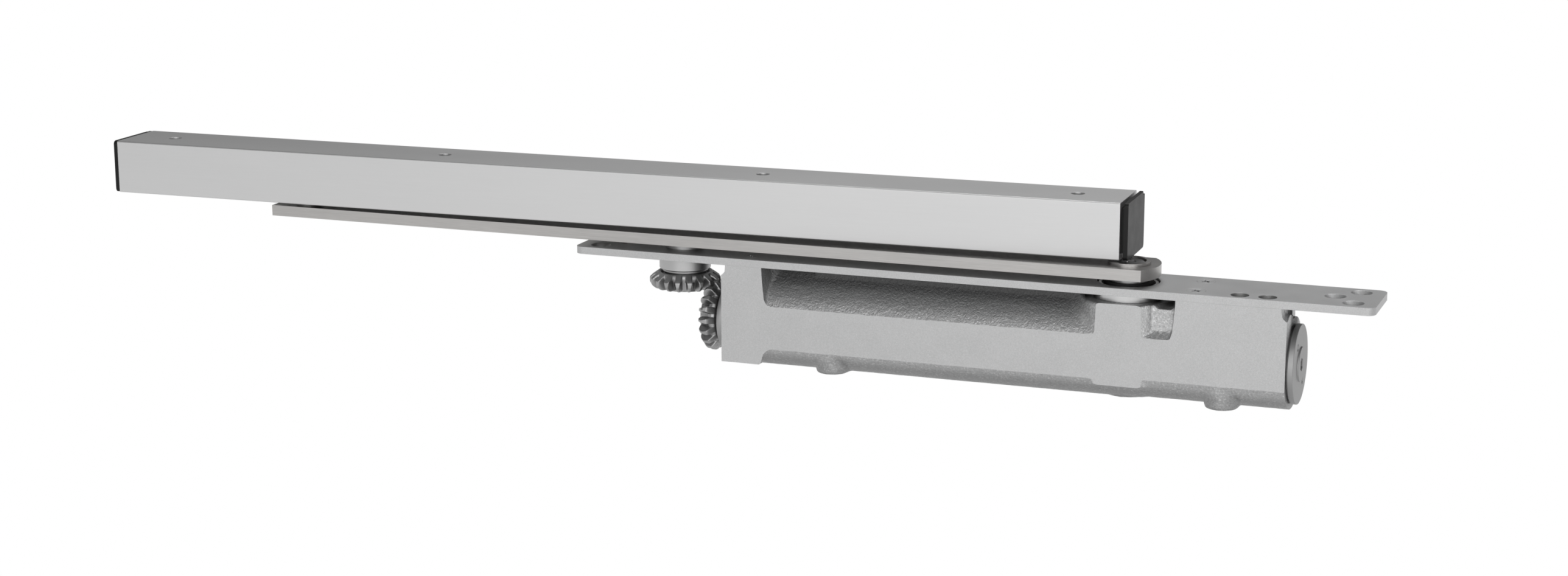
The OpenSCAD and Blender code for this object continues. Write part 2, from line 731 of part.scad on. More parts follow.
module vertical_gear() {
    color("DarkGray") on_door() translate([gear_x, 0, bore_z]) difference() {
        union() {
            bevel_teeth();
            translate([0, 0, gear_back - 1]) cylinder(h = -9.85 - bore_z - gear_back + 1, r = 8.6);
            translate([0, 0, gear_back - 1])
                cylinder(h = gear_shaft_top - bore_z - gear_back + 1, r = gear_shaft_r);
        }
        // Hexagon socket for the adjusting key
        translate([0, 0, gear_shaft_top - bore_z - 7]) cylinder(h = 9, r = 6 / sqrt(3), $fn = 6);
        // Clip groove
        difference() {
            translate([0, 0, clip_top - clip_t - 0.03 - bore_z]) cylinder(h = clip_t + 0.06, r = 8);
            translate([0, 0, clip_top - 2 - bore_z]) cylinder(h = 3, r = gear_shaft_r - 0.5);
        }
    }
}
module horizontal_gear() {
    color("DarkGray") on_door() translate([gear_x, 0, bore_z]) rotate([0, 90, 0])
        rotate([0, 0, 180 / gear_teeth]) difference() {
            union() {
                bevel_teeth();
                translate([0, 0, gear_back - 1])
                    cylinder(h = gear_left - screw_shoulder - 0.05 - gear_back + 1, r = 8.4);
            }
            translate([0, 0, -1]) rotate([0, 0, -180 / gear_teeth])
                cylinder(h = 40, r = (screw_hex + 2 * seat_gap) / sqrt(3), $fn = 6);
        }
}
// Spring clip with an open side
module open_ring(r_in, r_out, h, gap) {
    difference() {
        cylinder(h = h, r = r_out);
        translate([0, 0, -1]) cylinder(h = h + 2, r = r_in);
        translate([0, -gap / 2, -1]) cube([r_out + 1, gap, h + 2]);
    }
}
module horizontal_gear_clip() {
    color("DimGray") on_door() translate([spindle_x - gear_clip_left, 0, bore_z]) rotate([0, 90, 0])
        open_ring(groove_r + 0.05, 5, groove_w - 0.1, 2.4);
}
module gear_bush() {
    color("Silver") on_door() difference() {
        union() {
            post(gear_x, 0, bush_bottom, body_top, hub_r);
            post(gear_x, 0, body_top - 1, bush_top, bush_neck_r);
        }
        post(gear_x, 0, -20, 5, gear_shaft_r + fit_gap);
        post(gear_x, 0, clip_top - clip_t - 0.1, 5, 7);
    }
}
module gear_washer() {
    color("Gainsboro") on_door() difference() {
        post(gear_x, 0, -9.8, bush_bottom - 0.35, 9.3);
        post(gear_x, 0, -20, 5, gear_shaft_r + 0.2);
    }
}
module vertical_gear_clip() {
    color("DimGray") on_door() translate([gear_x, 0, clip_top - clip_t]) rotate([0, 0, 200])
        open_ring(gear_shaft_r - 0.45, 6.85, clip_t, 3);
}

// Speed regulating valves under the access holes
module valve(x) {
    difference() {
        union() {
            post(x, valve_y, -14.5, -7, valve_hole_r - fit_gap);
            translate([x, valve_y, -17.9]) cylinder(h = 3.5, r1 = 0.5, r2 = 1.9);
        }
        hex_post(x, valve_y, -9.5, -6, 2.5);
        difference() {
            post(x, valve_y, -12.6, -11, 5);
            post(x, valve_y, -13, -10, 1.8);
        }
    }
}
module closing_speed_valve() {
    color("Goldenrod") on_door() valve(valve_xs[0]);
}
module latch_speed_valve() {
    color("Goldenrod") on_door() valve(valve_xs[1]);
}
module valve_seals() {
    color("Black") on_door() for (x = valve_xs)
        translate([x, valve_y, -11.8]) rotate_extrude() translate([2.36, 0]) circle(r = 0.5, $fn = 24);
}

// Swing arm
module arm() {
    nose_r = (pow(arm_w / 2, 2) + pow(arm_nose_rise, 2)) / (2 * arm_nose_rise);
    x0 = pin_x - arm_tail;
    x1 = spindle_x + arm_nose;
    color("LightGray") on_door() difference() {
        union() {
            translate([0, 0, arm_lift]) linear_extrude(arm_t) difference() {
                intersection() {
                    translate([x0, -arm_w / 2]) square([x1 - x0, arm_w]);
                    union() {
                        translate([x1 - nose_r, 0]) circle(r = nose_r, $fn = 128);
                        translate([x0, -arm_w / 2]) square([x1 - x0 - arm_nose_rise, arm_w]);
                    }
                }
                translate([spindle_x, 0]) intersection() {
                    circle(r = shaft_square_r + seat_gap);
                    square(shaft_square + 2 * seat_gap, center = true);
                }
                translate([pin_x, 0]) circle(r = slide_pin_r + seat_gap);
            }
            post(spindle_x, 0, arm_top - 0.1, arm_top + boss_h, boss_r);
        }
        post(spindle_x, 0, arm_screw_seat, arm_top + 2 * boss_h, arm_screw_sink_r);
    }
}
module arm_screw() {
    head_top = arm_top + boss_h - head_edge - 0.1;
    color("Gray") on_door() difference() {
        union() {
            post(spindle_x, 0, arm_screw_seat, head_top - head_edge, arm_screw_head_r);
            translate([spindle_x, 0, head_top - head_edge])
                cylinder(h = head_edge, r1 = arm_screw_head_r, r2 = arm_screw_head_r - head_edge);
            post(spindle_x, 0, arm_screw_end, arm_screw_seat + 0.1, arm_screw_r);
        }
        hex_post(spindle_x, 0, head_top - arm_screw_hex_depth, head_top + 1, arm_screw_hex);
    }
}
module slide_pin() {
    block_top = track_z + lip_t + channel_h - 1.4;
    color("Silver") on_door() union() {
        post(pin_x, 0, arm_lift - 0.02, block_top, slide_pin_r);
        translate([pin_x, 0, arm_lift - pin_head_h]) cylinder(h = 0.4, r1 = pin_head_r - 0.5, r2 = pin_head_r);
        post(pin_x, 0, arm_lift - pin_head_h + 0.4, arm_lift - 0.02, pin_head_r);
        post(pin_x, 0, arm_top + 0.02, arm_top + track_gap - 0.3, slide_pin_r + 1.8);
    }
}

// Everything below is drawn in the track's own direction, from the slide pin
module along_track() {
    translate([pin_x, 0, track_z]) rotate([0, 0, track_yaw]) children();
}
module slide_block() {
    z0 = lip_t + slider_gap;
    z1 = lip_t + channel_h - slider_gap - slider_head_gap;
    color("DimGray") on_door() along_track() difference() {
        union() {
            translate([0, 0, z0]) linear_extrude(z1 - z0)
                round_outline(slider_l, channel_w - 2 * slider_gap, slider_corner_r);
            translate([0, 0, 0.4]) cylinder(h = z0, r = slot_w / 2 - 0.4);
        }
        translate([0, 0, -1]) cylinder(h = track_h, r = slide_pin_r + fit_gap);
    }
}
module track_channel() {
    x0 = -track_back;
    color("Silver") on_door() along_track() difference() {
        translate([x0, 0, 0]) rotate([90, 0, 90]) linear_extrude(track_l) difference() {
            translate([0, track_h / 2]) round_outline(track_w, track_h, 0.6);
            translate([-channel_w / 2, lip_t]) square([channel_w, channel_h]);
            translate([-slot_w / 2, -1]) square([slot_w, lip_t + 2]);
        }
        // Fixing holes, countersunk from the inside to keep the screw heads off the slide block
        for (x = track_hole_xs) translate([x, 0, track_h - track_wall - eps]) {
            cylinder(h = track_wall + 1, r = track_hole_r);
            cylinder(h = track_sink, r1 = track_hole_r + track_sink, r2 = track_hole_r);
        }
    }
}
// End cap with its outer face toward +X, seated at the channel's end
module end_cap(neck) {
    difference() {
        union() {
            translate([neck, 0, track_h / 2]) rotate([90, 0, 90]) linear_extrude(cap_t)
                round_outline(track_w, track_h, cap_corner_r);
            translate([neck / 2 - insert_l / 2, 0, lip_t + channel_h / 2])
                cube([insert_l + neck + 0.1, channel_w - 0.2, channel_h - 0.2], center = true);
        }
        translate([-insert_l - 1, -channel_w / 2 + 2.5, lip_t + 2.5])
            cube([insert_l, channel_w - 5, channel_h - 5]);
        // Shallow rib line on the outer face's upper back corner
        translate([neck + cap_t - 0.5, track_w / 2 - 3, track_h - 1.2]) cube([2, 5, 3]);
    }
}
module track_end_cap_left() {
    color("DimGray") on_door() along_track() translate([-track_back - 0.02, 0, 0]) mirror([1, 0, 0]) end_cap(0);
}
module track_end_cap_right() {
    color("DimGray") on_door() along_track() translate([track_l - track_back + 0.02, 0, 0]) end_cap(cap_gap);
}

mounting_plate();
plate_screws();
closer_body();
end_plug();
end_plug_seal();
camshaft();
upper_bearing_cup();
upper_bearing_needles();
lower_bearing_cup();
lower_bearing_needles();
bearing_collar();
spindle_seal();
bottom_cover();
damping_piston();
damping_piston_seal();
check_valve_ball();
damping_roller();
damping_roller_pin();
return_spring();
spring_piston();
spring_roller();
spring_roller_pin();
closing_spring();
spring_nut();
adjusting_screw();
thrust_bearing();
end_gland();
screw_seal();
horizontal_gear();
horizontal_gear_clip();
vertical_gear();
gear_bush();
gear_washer();
vertical_gear_clip();
closing_speed_valve();
latch_speed_valve();
valve_seals();
arm();
arm_screw();
slide_pin();
slide_block();
track_channel();
track_end_cap_left();
track_end_cap_right();
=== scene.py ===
"""Dresses a concealed overhead door closer: shapes, finishes, camera and light.

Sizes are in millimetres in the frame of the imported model, whose origin is the centre of the mounting
plate's underside, with X along the plate, Y to the back and Z up. Meshes are written in metres.
"""

from __future__ import annotations

import json
import logging
import math
from dataclasses import dataclass
from enum import Enum
from typing import Callable, Sequence

import bmesh
import bpy
import numpy as np
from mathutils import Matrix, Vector

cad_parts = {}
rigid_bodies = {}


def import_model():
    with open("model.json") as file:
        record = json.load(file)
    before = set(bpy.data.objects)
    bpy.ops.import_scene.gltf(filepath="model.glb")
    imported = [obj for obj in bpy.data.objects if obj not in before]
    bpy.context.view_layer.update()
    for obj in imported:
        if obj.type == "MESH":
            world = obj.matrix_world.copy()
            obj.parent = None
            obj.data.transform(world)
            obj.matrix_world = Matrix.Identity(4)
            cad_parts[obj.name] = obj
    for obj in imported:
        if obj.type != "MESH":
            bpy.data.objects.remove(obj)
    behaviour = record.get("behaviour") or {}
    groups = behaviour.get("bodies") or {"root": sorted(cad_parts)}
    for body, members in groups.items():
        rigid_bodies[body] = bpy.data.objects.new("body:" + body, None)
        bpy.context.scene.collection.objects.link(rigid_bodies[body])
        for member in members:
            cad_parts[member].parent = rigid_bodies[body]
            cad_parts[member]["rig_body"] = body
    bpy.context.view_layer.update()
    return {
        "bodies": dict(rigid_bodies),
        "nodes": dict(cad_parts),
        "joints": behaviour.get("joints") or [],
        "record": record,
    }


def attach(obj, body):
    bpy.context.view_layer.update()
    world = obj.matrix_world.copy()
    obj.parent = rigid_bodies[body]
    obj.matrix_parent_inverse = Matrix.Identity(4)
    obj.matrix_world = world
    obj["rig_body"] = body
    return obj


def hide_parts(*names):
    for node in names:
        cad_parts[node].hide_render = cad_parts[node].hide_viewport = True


LOG = logging.getLogger("closer")
MM = 0.001
BORE_Z = -24.4
SPINDLE_X = 65.5
PIN_X = -294.5
GEAR_X = -119.7
TRACK_YAW = math.radians(1.48)
Array = np.ndarray
Material, Mesh, Object = bpy.types.Material, bpy.types.Mesh, bpy.types.Object
Place = tuple[float, float, float]
Colour = tuple[float, float, float]
Mark = tuple[float, float]
Lamp = tuple[str, Place, Mark, float]


class Axis(Enum):
    """Direction that a turned or drawn piece lies along."""

    X = "x"
    Z = "z"


# Shader arithmetic


def sign(operation: str, swapped: bool = False) -> Callable[[Wire, Wire | float], Wire]:
    """Makes a method that adds one Math node.

    Args:
        operation: the node's operation.
        swapped: True where the number stands before the wire.
    Returns:
        The method.
    """

    def method(self: Wire, other: Wire | float) -> Wire:
        """Adds the node and hands back its wire."""
        values = (other, self) if swapped else (self, other)
        return self.recipe.add("ShaderNodeMath", {"operation": operation}, dict(enumerate(values)))

    return method


class Wire:
    """A shader socket on which the usual signs work; each use adds its Math node."""

    __add__ = __radd__ = sign("ADD")
    __sub__ = sign("SUBTRACT")
    __rsub__ = sign("SUBTRACT", True)
    __mul__ = __rmul__ = sign("MULTIPLY")
    most = sign("MAXIMUM")

    def __init__(self, recipe: Recipe, socket: bpy.types.NodeSocket | None) -> None:
        """Wraps one output socket of a recipe's tree."""
        self.recipe = recipe
        self.socket = socket

    def absolute(self) -> Wire:
        """Size without its sign."""
        return self.recipe.add("ShaderNodeMath", {"operation": "ABSOLUTE"}, {0: self})

    def ramp(self, low: float, high: float) -> Wire:
        """Smooth step from 0 at low to 1 at high.

        Args:
            low, high: values that give 0 and 1.
        Returns:
            The stepped value.
        """
        settings = {"interpolation_type": "SMOOTHSTEP"}
        inputs = {"Value": self, "From Min": low, "From Max": high}
        return self.recipe.add("ShaderNodeMapRange", settings, inputs)


class Recipe:
    """The node tree of one material or of the world, filled by one method."""

    def __init__(self, name: str, world: bool = False) -> None:
        """Starts an empty material or world.

        Args:
            name: its name.
            world: True for a world.
        """
        self.owner = (bpy.data.worlds if world else bpy.data.materials).new(name)
        self.owner.use_nodes = True
        self.tree = self.owner.node_tree
        self.tree.nodes.clear()

    def add(
        self,
        kind: str,
        settings: dict[str, object] | None = None,
        inputs: dict[int | str, object] | None = None,
        output: int | str = 0,
    ) -> Wire:
        """Adds a node.

        Args:
            kind: the node's type.
            settings: attributes that are set first.
            inputs: values or wires by socket name or number.
            output: the socket that is handed back.
        Returns:
            The wire of that output.
        """
        node = self.tree.nodes.new(kind)
        for key, value in (settings or {}).items():
            setattr(node, key, value)
        for key, value in (inputs or {}).items():
            if isinstance(value, Wire):
                self.tree.links.new(value.socket, node.inputs[key])
            else:
                node.inputs[key].default_value = value
        return Wire(self, node.outputs[output] if node.outputs else None)

    def vector(self, operation: str, *values: object, output: int | str = 0) -> Wire:
        """Adds one Vector Math node."""
        inputs = dict(enumerate(values))
        return self.add("ShaderNodeVectorMath", {"operation": operation}, inputs, output)

    def place(self, centre: Place = (0, 0, 0), stretch: Place = (1, 1, 1)) -> Wire:
        """Object coordinates in millimetres, taken from a centre and stretched along each axis.

        Args:
            centre: millimetres that become 0.
            stretch: factor along each axis.
        Returns:
            The vector.
        """
        raw = self.add("ShaderNodeTexCoord", output="Object")
        moved = self.vector("SUBTRACT", raw, tuple(c * MM for c in centre))
        return self.vector("MULTIPLY", moved, tuple(s / MM for s in stretch))

    def span(self, vector: Wire, counted: Place) -> Wire:
        """Length of a vector along the axes that are counted with 1."""
        return self.vector("LENGTH", self.vector("MULTIPLY", vector, counted), output="Value")

    def noise(self, vector: Wire, size: float, detail: float = 2.0, rough: float = 0.5) -> Wire:
        """Noise whose grains are about that many millimetres across."""
        inputs = {"Vector": vector, "Scale": 1.0 / size, "Detail": detail, "Roughness": rough}
        return self.add("ShaderNodeTexNoise", {"noise_dimensions": "3D"}, inputs)

    def axis_value(self, vector: Wire, index: int) -> Wire:
        """One coordinate of a vector."""
        return self.add("ShaderNodeSeparateXYZ", inputs={0: vector}, output=index)

    def mixed(self, share: Wire | float, low: Colour | Wire, high: Colour | Wire) -> Wire:
        """Colour between two others.

        Args:
            share: 0 gives the first, 1 the second.
            low, high: the colours.
        Returns:
            The mixed colour.
        """
        low_value = low if isinstance(low, Wire) else (*low, 1.0)
        high_value = high if isinstance(high, Wire) else (*high, 1.0)
        inputs = {"Factor": share, 6: low_value, 7: high_value}
        return self.add("ShaderNodeMix", {"data_type": "RGBA"}, inputs, output=2)

    def bump(
        self, height: Wire, depth: float, strength: float = 1.0, under: Wire | None = None
    ) -> Wire:
        """Bump from a height field.

        Args:
            height: values between 0 and 1.
            depth: millimetres that 1 stands for.
            strength: share of the effect.
            under: normal that is bumped further.
        Returns:
            The normal.
        """
        inputs = {"Height": height, "Distance": depth * MM, "Strength": strength}
        if under is not None:
            inputs["Normal"] = under
        return self.add("ShaderNodeBump", inputs=inputs)

    def finish(
        self, colour: Wire, roughness: Wire, metallic: float, normal: Wire, **fixed: float
    ) -> Material:
        """Joins everything to one Principled shader.

        Args:
            colour, roughness, metallic, normal: the shader's main inputs.
            fixed: further sockets with one value each, spaces written as underscores.
        Returns:
            The finished material.
        """
        inputs = {key.replace("_", " "): value for key, value in fixed.items()}
        inputs |= {"Base Color": colour, "Roughness": roughness}
        inputs |= {"Metallic": metallic, "Normal": normal}
        shader = self.add("ShaderNodeBsdfPrincipled", inputs=inputs)
        self.add("ShaderNodeOutputMaterial", inputs={"Surface": shader})
        return self.owner


def grey(value: float, warmth: float = 0.0) -> Colour:
    """A grey, a little warmer in the red and cooler in the blue by the given share."""
    return (value * (1 + warmth), value, value * (1 - warmth))


@dataclass(frozen=True)
class SprayedMetal:
    """Silver paint with fine flakes over flat or rough cast metal.

    Attributes:
        name: material name.
        light, dark: greys of the flakes and between them.
        cast: share of rough casting, 0 for a smooth part; where it is 1 the flats stay smooth.
        flat_y: half width between the machined sides, where the casting is smooth.
        under_plate_shade: painted shade, the dark grey deep under the plate, where the plate keeps the
            light off.
        pit_shade, painted_glint, shade: greys of painted shade in the grain's pits, of painted glints
            on
        its tips and of painted shade on the casting's underside.
    """

    name: str
    light: float = 0.6
    dark: float = 0.4
    cast: float = 0.0
    flat_y: float = 15.75
    metallic: float = 0.9
    roughness: float = 0.46
    under_plate_shade: float = 0.05
    pit_shade: float = 0.1
    painted_glint: float = 0.85
    shade: float = 0.14

    def build(self) -> Material:
        """Flecked paint: small noise picks flakes and larger noise varies the coat.

        Returns:
            The material.
        """
        r = Recipe(self.name)
        at = r.place()
        flake = r.noise(at, 0.3, 3.0, 0.6).ramp(0.25, 0.75)
        painted_sparkle = r.noise(at, 0.3, 1.0).ramp(0.68, 0.78)
        coat = r.noise(at, 11.0, 3.0)
        orange_peel = r.noise(at, 0.8, 2.0)
        share = flake * 0.55 + coat * 0.3 + 0.05
        metal = r.mixed(share, grey(self.dark, -0.004), grey(self.light, -0.002))
        # Painted glints: sparse bright specks mixed into the colour stand for light caught by single
        # flakes.
        metal = r.mixed(painted_sparkle * 0.12, metal, grey(self.painted_glint))
        normal = r.bump(orange_peel, 0.02, 0.5)
        roughness = coat * 0.06 + flake * 0.08 + (self.roughness - 0.07)
        if self.cast:
            metal, roughness, normal = self.casting(r, at, metal, roughness, normal)
        return r.finish(metal, roughness, self.metallic, normal)

    def casting(
        self, r: Recipe, at: Wire, metal: Wire, roughness: Wire, normal: Wire
    ) -> tuple[Wire, Wire, Wire]:
        """Roughens the paint away from the machined sides and top.

        Coarse and fine noise together give the bump; the fine noise also paints shade into pits and
        glints onto tips. The underside gets painted shade, and so does what lies deep under the plate.

        Args:
            r: the paint's recipe.
            at: place in millimetres.
            metal, roughness, normal: the smooth paint's values.
        Returns:
            The colour, roughness and normal of the painted casting.
        """
        wide, drop = r.axis_value(at, 1).absolute(), 0 - r.axis_value(at, 2)
        rough = r.noise(at, 1.7, 2.0, 0.55)
        grit = r.noise(at, 0.75, 3.0, 0.62)
        side = wide.ramp(self.flat_y - 0.1, self.flat_y - 0.03)
        top = r.axis_value(at, 2).ramp(-0.12, -0.04)
        mask = (1 - side.most(top)) * self.cast
        height = (rough * 0.35 + grit * 0.65 - 0.5) * mask
        normal = r.bump(height, 0.5, 0.9, normal)
        roughness = roughness + mask * 0.04 - grit.ramp(0.55, 0.68) * mask * 0.12
        # Painted shade in the grit's pits and painted glints on its tips, following the bump's height.
        metal = r.mixed((1 - grit.ramp(0.32, 0.5)) * mask * 0.22, metal, grey(self.pit_shade))
        metal = r.mixed(grit.ramp(0.56, 0.66) * mask * 0.45, metal, grey(self.painted_glint))
        # Painted shade: the casting's colour is darkened towards the bottom of its underside.
        metal = r.mixed(drop.ramp(33.0, 38.0) * mask * 0.45, metal, grey(self.shade))
        # Painted shade: the colour goes dark deep under the plate and towards the middle, where the
        # plate's shadow falls.
        unshaded = wide.ramp(4.0, 10.8).most(drop.ramp(9.0, 13.0))
        return r.mixed(unshaded, grey(self.under_plate_shade), metal), roughness, normal


@dataclass(frozen=True)
class BrushedSteel:
    """Steel brushed along X, with long streaks.

    Attributes:
        name: material name.
        light, dark: greys between which the streaks lie.
        warmth: share by which the grey leans to red.
        streak, width: length and width of a brush mark in millimetres.
    """

    name: str
    light: float = 0.52
    dark: float = 0.28
    warmth: float = 0.022
    roughness: float = 0.3
    metallic: float = 1.0
    streak: float = 60.0
    width: float = 0.16

    def build(self) -> Material:
        """Noise stretched along X makes the brush marks; a broad noise makes cloudy patches.

        Returns:
            The material.
        """
        r = Recipe(self.name)
        along = r.place(stretch=(self.width / self.streak, 1, 1))
        marks = r.noise(along, self.width, 3.0, 0.6)
        short = r.noise(r.place(stretch=(0.05, 1, 1)), 0.3, 2.0)
        cloud = r.noise(r.place(stretch=(0.25, 1, 1)), 12.0, 2.0)
        share = marks * 0.9 + short * 0.35 + cloud * 0.5 - 0.35
        colour = r.mixed(share, grey(self.dark, self.warmth), grey(self.light, self.warmth))
        normal = r.bump(marks * 0.7 + short * 0.3, 0.03, 0.6)
        roughness = marks * 0.16 + cloud * 0.1 + (self.roughness - 0.1)
        return r.finish(colour, roughness, self.metallic, normal)


@dataclass(frozen=True)
class TurnedSteel:
    """Steel turned on a lathe, with fine rings about an axis.

    Attributes:
        name: material name.
        centre: a point on the axis.
        axis: direction of the axis.
        light, dark: greys between which the rings lie.
        ring: width of a ring in millimetres.
    """

    name: str
    centre: Place = (0, 0, 0)
    axis: Axis = Axis.Z
    light: float = 0.62
    dark: float = 0.5
    roughness: float = 0.3
    metallic: float = 0.95
    ring: float = 0.22

    def build(self) -> Material:
        """Noise read at (distance from the axis, place along it) gives rings all the way round.

        Returns:
            The material.
        """
        r = Recipe(self.name)
        at = r.place(self.centre)
        flat = (0.0, 1.0, 1.0) if self.axis is Axis.X else (1.0, 1.0, 0.0)
        along = r.axis_value(at, 0 if self.axis is Axis.X else 2)
        turned = r.add("ShaderNodeCombineXYZ", inputs={0: r.span(at, flat), 1: along})
        rings = r.noise(turned, self.ring, 3.0, 0.6)
        stain = r.noise(at, 4.0, 3.0)
        speck = r.noise(at, 0.35, 1.0)
        share = rings * 0.6 + stain * 0.5 + speck * 0.2 - 0.15
        colour = r.mixed(share, grey(self.dark), grey(self.light))
        normal = r.bump(rings * 0.8 + speck * 0.2, 0.02, 0.6)
        roughness = rings * 0.12 + stain * 0.12 + (self.roughness - 0.12)
        return r.finish(colour, roughness, self.metallic, normal)


@dataclass(frozen=True)
class GritMetal:
    """Plain metal with a fine all-round grit, for ground, drawn or blackened pieces.

    Attributes:
        name: material name.
        light, dark: greys between which the grit lies.
        warmth: share by which the grey leans to red.
        tint: colour in place of the greys, as for brass.
        grain, depth: width and height of the grit in millimetres.
    """

    name: str
    light: float = 0.5
    dark: float = 0.34
    warmth: float = 0.0
    tint: Colour | None = None
    roughness: float = 0.44
    metallic: float = 0.95
    grain: float = 0.5
    depth: float = 0.05

    def build(self) -> Material:
        """Two noises, grain and cloud, vary colour, roughness and a low bump.

        Returns:
            The material.
        """
        r = Recipe(self.name)
        at = r.place()
        grain = r.noise(at, self.grain, 3.0, 0.6)
        cloud = r.noise(at, 5.0, 3.0)
        share = grain * 0.7 + cloud * 0.6 - 0.15
        low, high = grey(self.dark, self.warmth), grey(self.light, self.warmth)
        if self.tint:
            low, high = tuple(c * 0.7 for c in self.tint), self.tint
        colour = r.mixed(share, low, high)
        normal = r.bump(grain, self.depth, 0.7)
        roughness = grain * 0.14 + cloud * 0.12 + (self.roughness - 0.13)
        return r.finish(colour, roughness, self.metallic, normal)


@dataclass(frozen=True)
class AnodisedAluminium:
    """Drawn aluminium with a satin anodised skin and faint lines along its length."""

    name: str
    light: float = 0.66
    dark: float = 0.58
    roughness: float = 0.44
    metallic: float = 0.85

    def build(self) -> Material:
        """Very fine even grit and faint drawing lines, which lie along the slanting track.

        Returns:
            The material.
        """
        r = Recipe(self.name)
        raw = r.add("ShaderNodeTexCoord", output="Object")
        settings = {"vector_type": "POINT"}
        inputs = {"Vector": raw, "Rotation": (0, 0, -TRACK_YAW), "Scale": (4.0, 1000.0, 1000.0)}
        lines = r.noise(r.add("ShaderNodeMapping", settings, inputs), 0.5, 2.0)
        at = r.place()
        grit = r.noise(at, 0.16, 1.0)
        cloud = r.noise(r.place(stretch=(0.2, 1, 1)), 20.0, 2.0)
        share = lines * 0.25 + grit * 0.3 + cloud * 0.5
        colour = r.mixed(share, grey(self.dark, -0.002), grey(self.light))
        normal = r.bump(grit * 0.6 + lines * 0.4, 0.008, 0.25)
        roughness = grit * 0.08 + cloud * 0.06 + (self.roughness - 0.07)
        return r.finish(colour, roughness, self.metallic, normal)


@dataclass(frozen=True)
class Moulded:
    """Dark moulded plastic or rubber with a fine grained skin and slight scuffs.

    Attributes:
        name: material name.
        light, dark: greys between which the skin varies.
        depth: height of the grain in millimetres.
        gloss: level of the mirror reflection.
    """

    name: str
    light: float = 0.03
    dark: float = 0.014
    roughness: float = 0.5
    depth: float = 0.03
    gloss: float = 0.22

    def build(self) -> Material:
        """Fine grain with a cloudy sheen.

        Returns:
            The material.
        """
        r = Recipe(self.name)
        at = r.place()
        grain = r.noise(at, 0.3, 2.0)
        cloud = r.noise(at, 6.0, 3.0)
        scuff = r.noise(r.place(stretch=(1, 1, 0.15)), 0.6, 3.0).ramp(0.62, 0.8)
        colour = r.mixed(grain * 0.5 + cloud * 0.4 + scuff * 0.5, grey(self.dark), grey(self.light))
        normal = r.bump(grain, self.depth, 0.5)
        roughness = grain * 0.12 + cloud * 0.12 + (self.roughness - 0.12)
        return r.finish(colour, roughness, 0.0, normal, Specular_IOR_Level=self.gloss)


@dataclass(frozen=True)
class PaleFloor:
    """White floor that keeps the object's soft shadow near it and runs out to plain white.

    Attributes:
        name: material name.
        near, far: distances in millimetres between which the lit board gives way to plain white.
        white_share: share of plain white within the near distance.
    """

    name: str = "pale_floor"
    near: float = 420.0
    far: float = 800.0
    white_share: float = 0.6

    def build(self) -> Material:
        """Rays that look see a pale lit board and plain white; light bounces off a dimmer board.

        Returns:
            The material.
        """
        r = Recipe(self.name)
        at = r.place()
        mottle = r.noise(at, 40.0, 2.0)
        dim = r.add("ShaderNodeBsdfDiffuse", inputs={"Color": r.mixed(mottle, grey(0.3), grey(0.32))})
        pale = r.add("ShaderNodeBsdfDiffuse", inputs={"Color": r.mixed(mottle, grey(0.9), grey(0.92))})
        white = r.add("ShaderNodeEmission", inputs={"Color": (1, 1, 1, 1), "Strength": 1.0})
        away = r.span(at, (1, 1, 0)).ramp(self.near, self.far)
        share = away * (1 - self.white_share) + self.white_share
        board = r.add("ShaderNodeMixShader", inputs={0: share, 1: pale, 2: white})
        lit = r.add("ShaderNodeMixShader", inputs={0: self.looking(r), 1: dim, 2: board})
        r.add("ShaderNodeOutputMaterial", inputs={"Surface": lit})
        return r.owner

    @staticmethod
    def looking(recipe: Recipe) -> Wire:
        """1 for camera, glossy and transmission rays, 0 for the rest."""
        camera, glossy, through = (
            recipe.add("ShaderNodeLightPath", output=f"Is {kind} Ray")
            for kind in ("Camera", "Glossy", "Transmission")
        )
        return camera.most(glossy).most(through)


# Studio


def linked(name: str, data: bpy.types.ID) -> Object:
    """New object of the scene.

    Args:
        name: its name.
        data: its mesh, camera or light.
    Returns:
        The linked object.
    """
    thing = bpy.data.objects.new(name, data)
    bpy.context.scene.collection.objects.link(thing)
    return thing


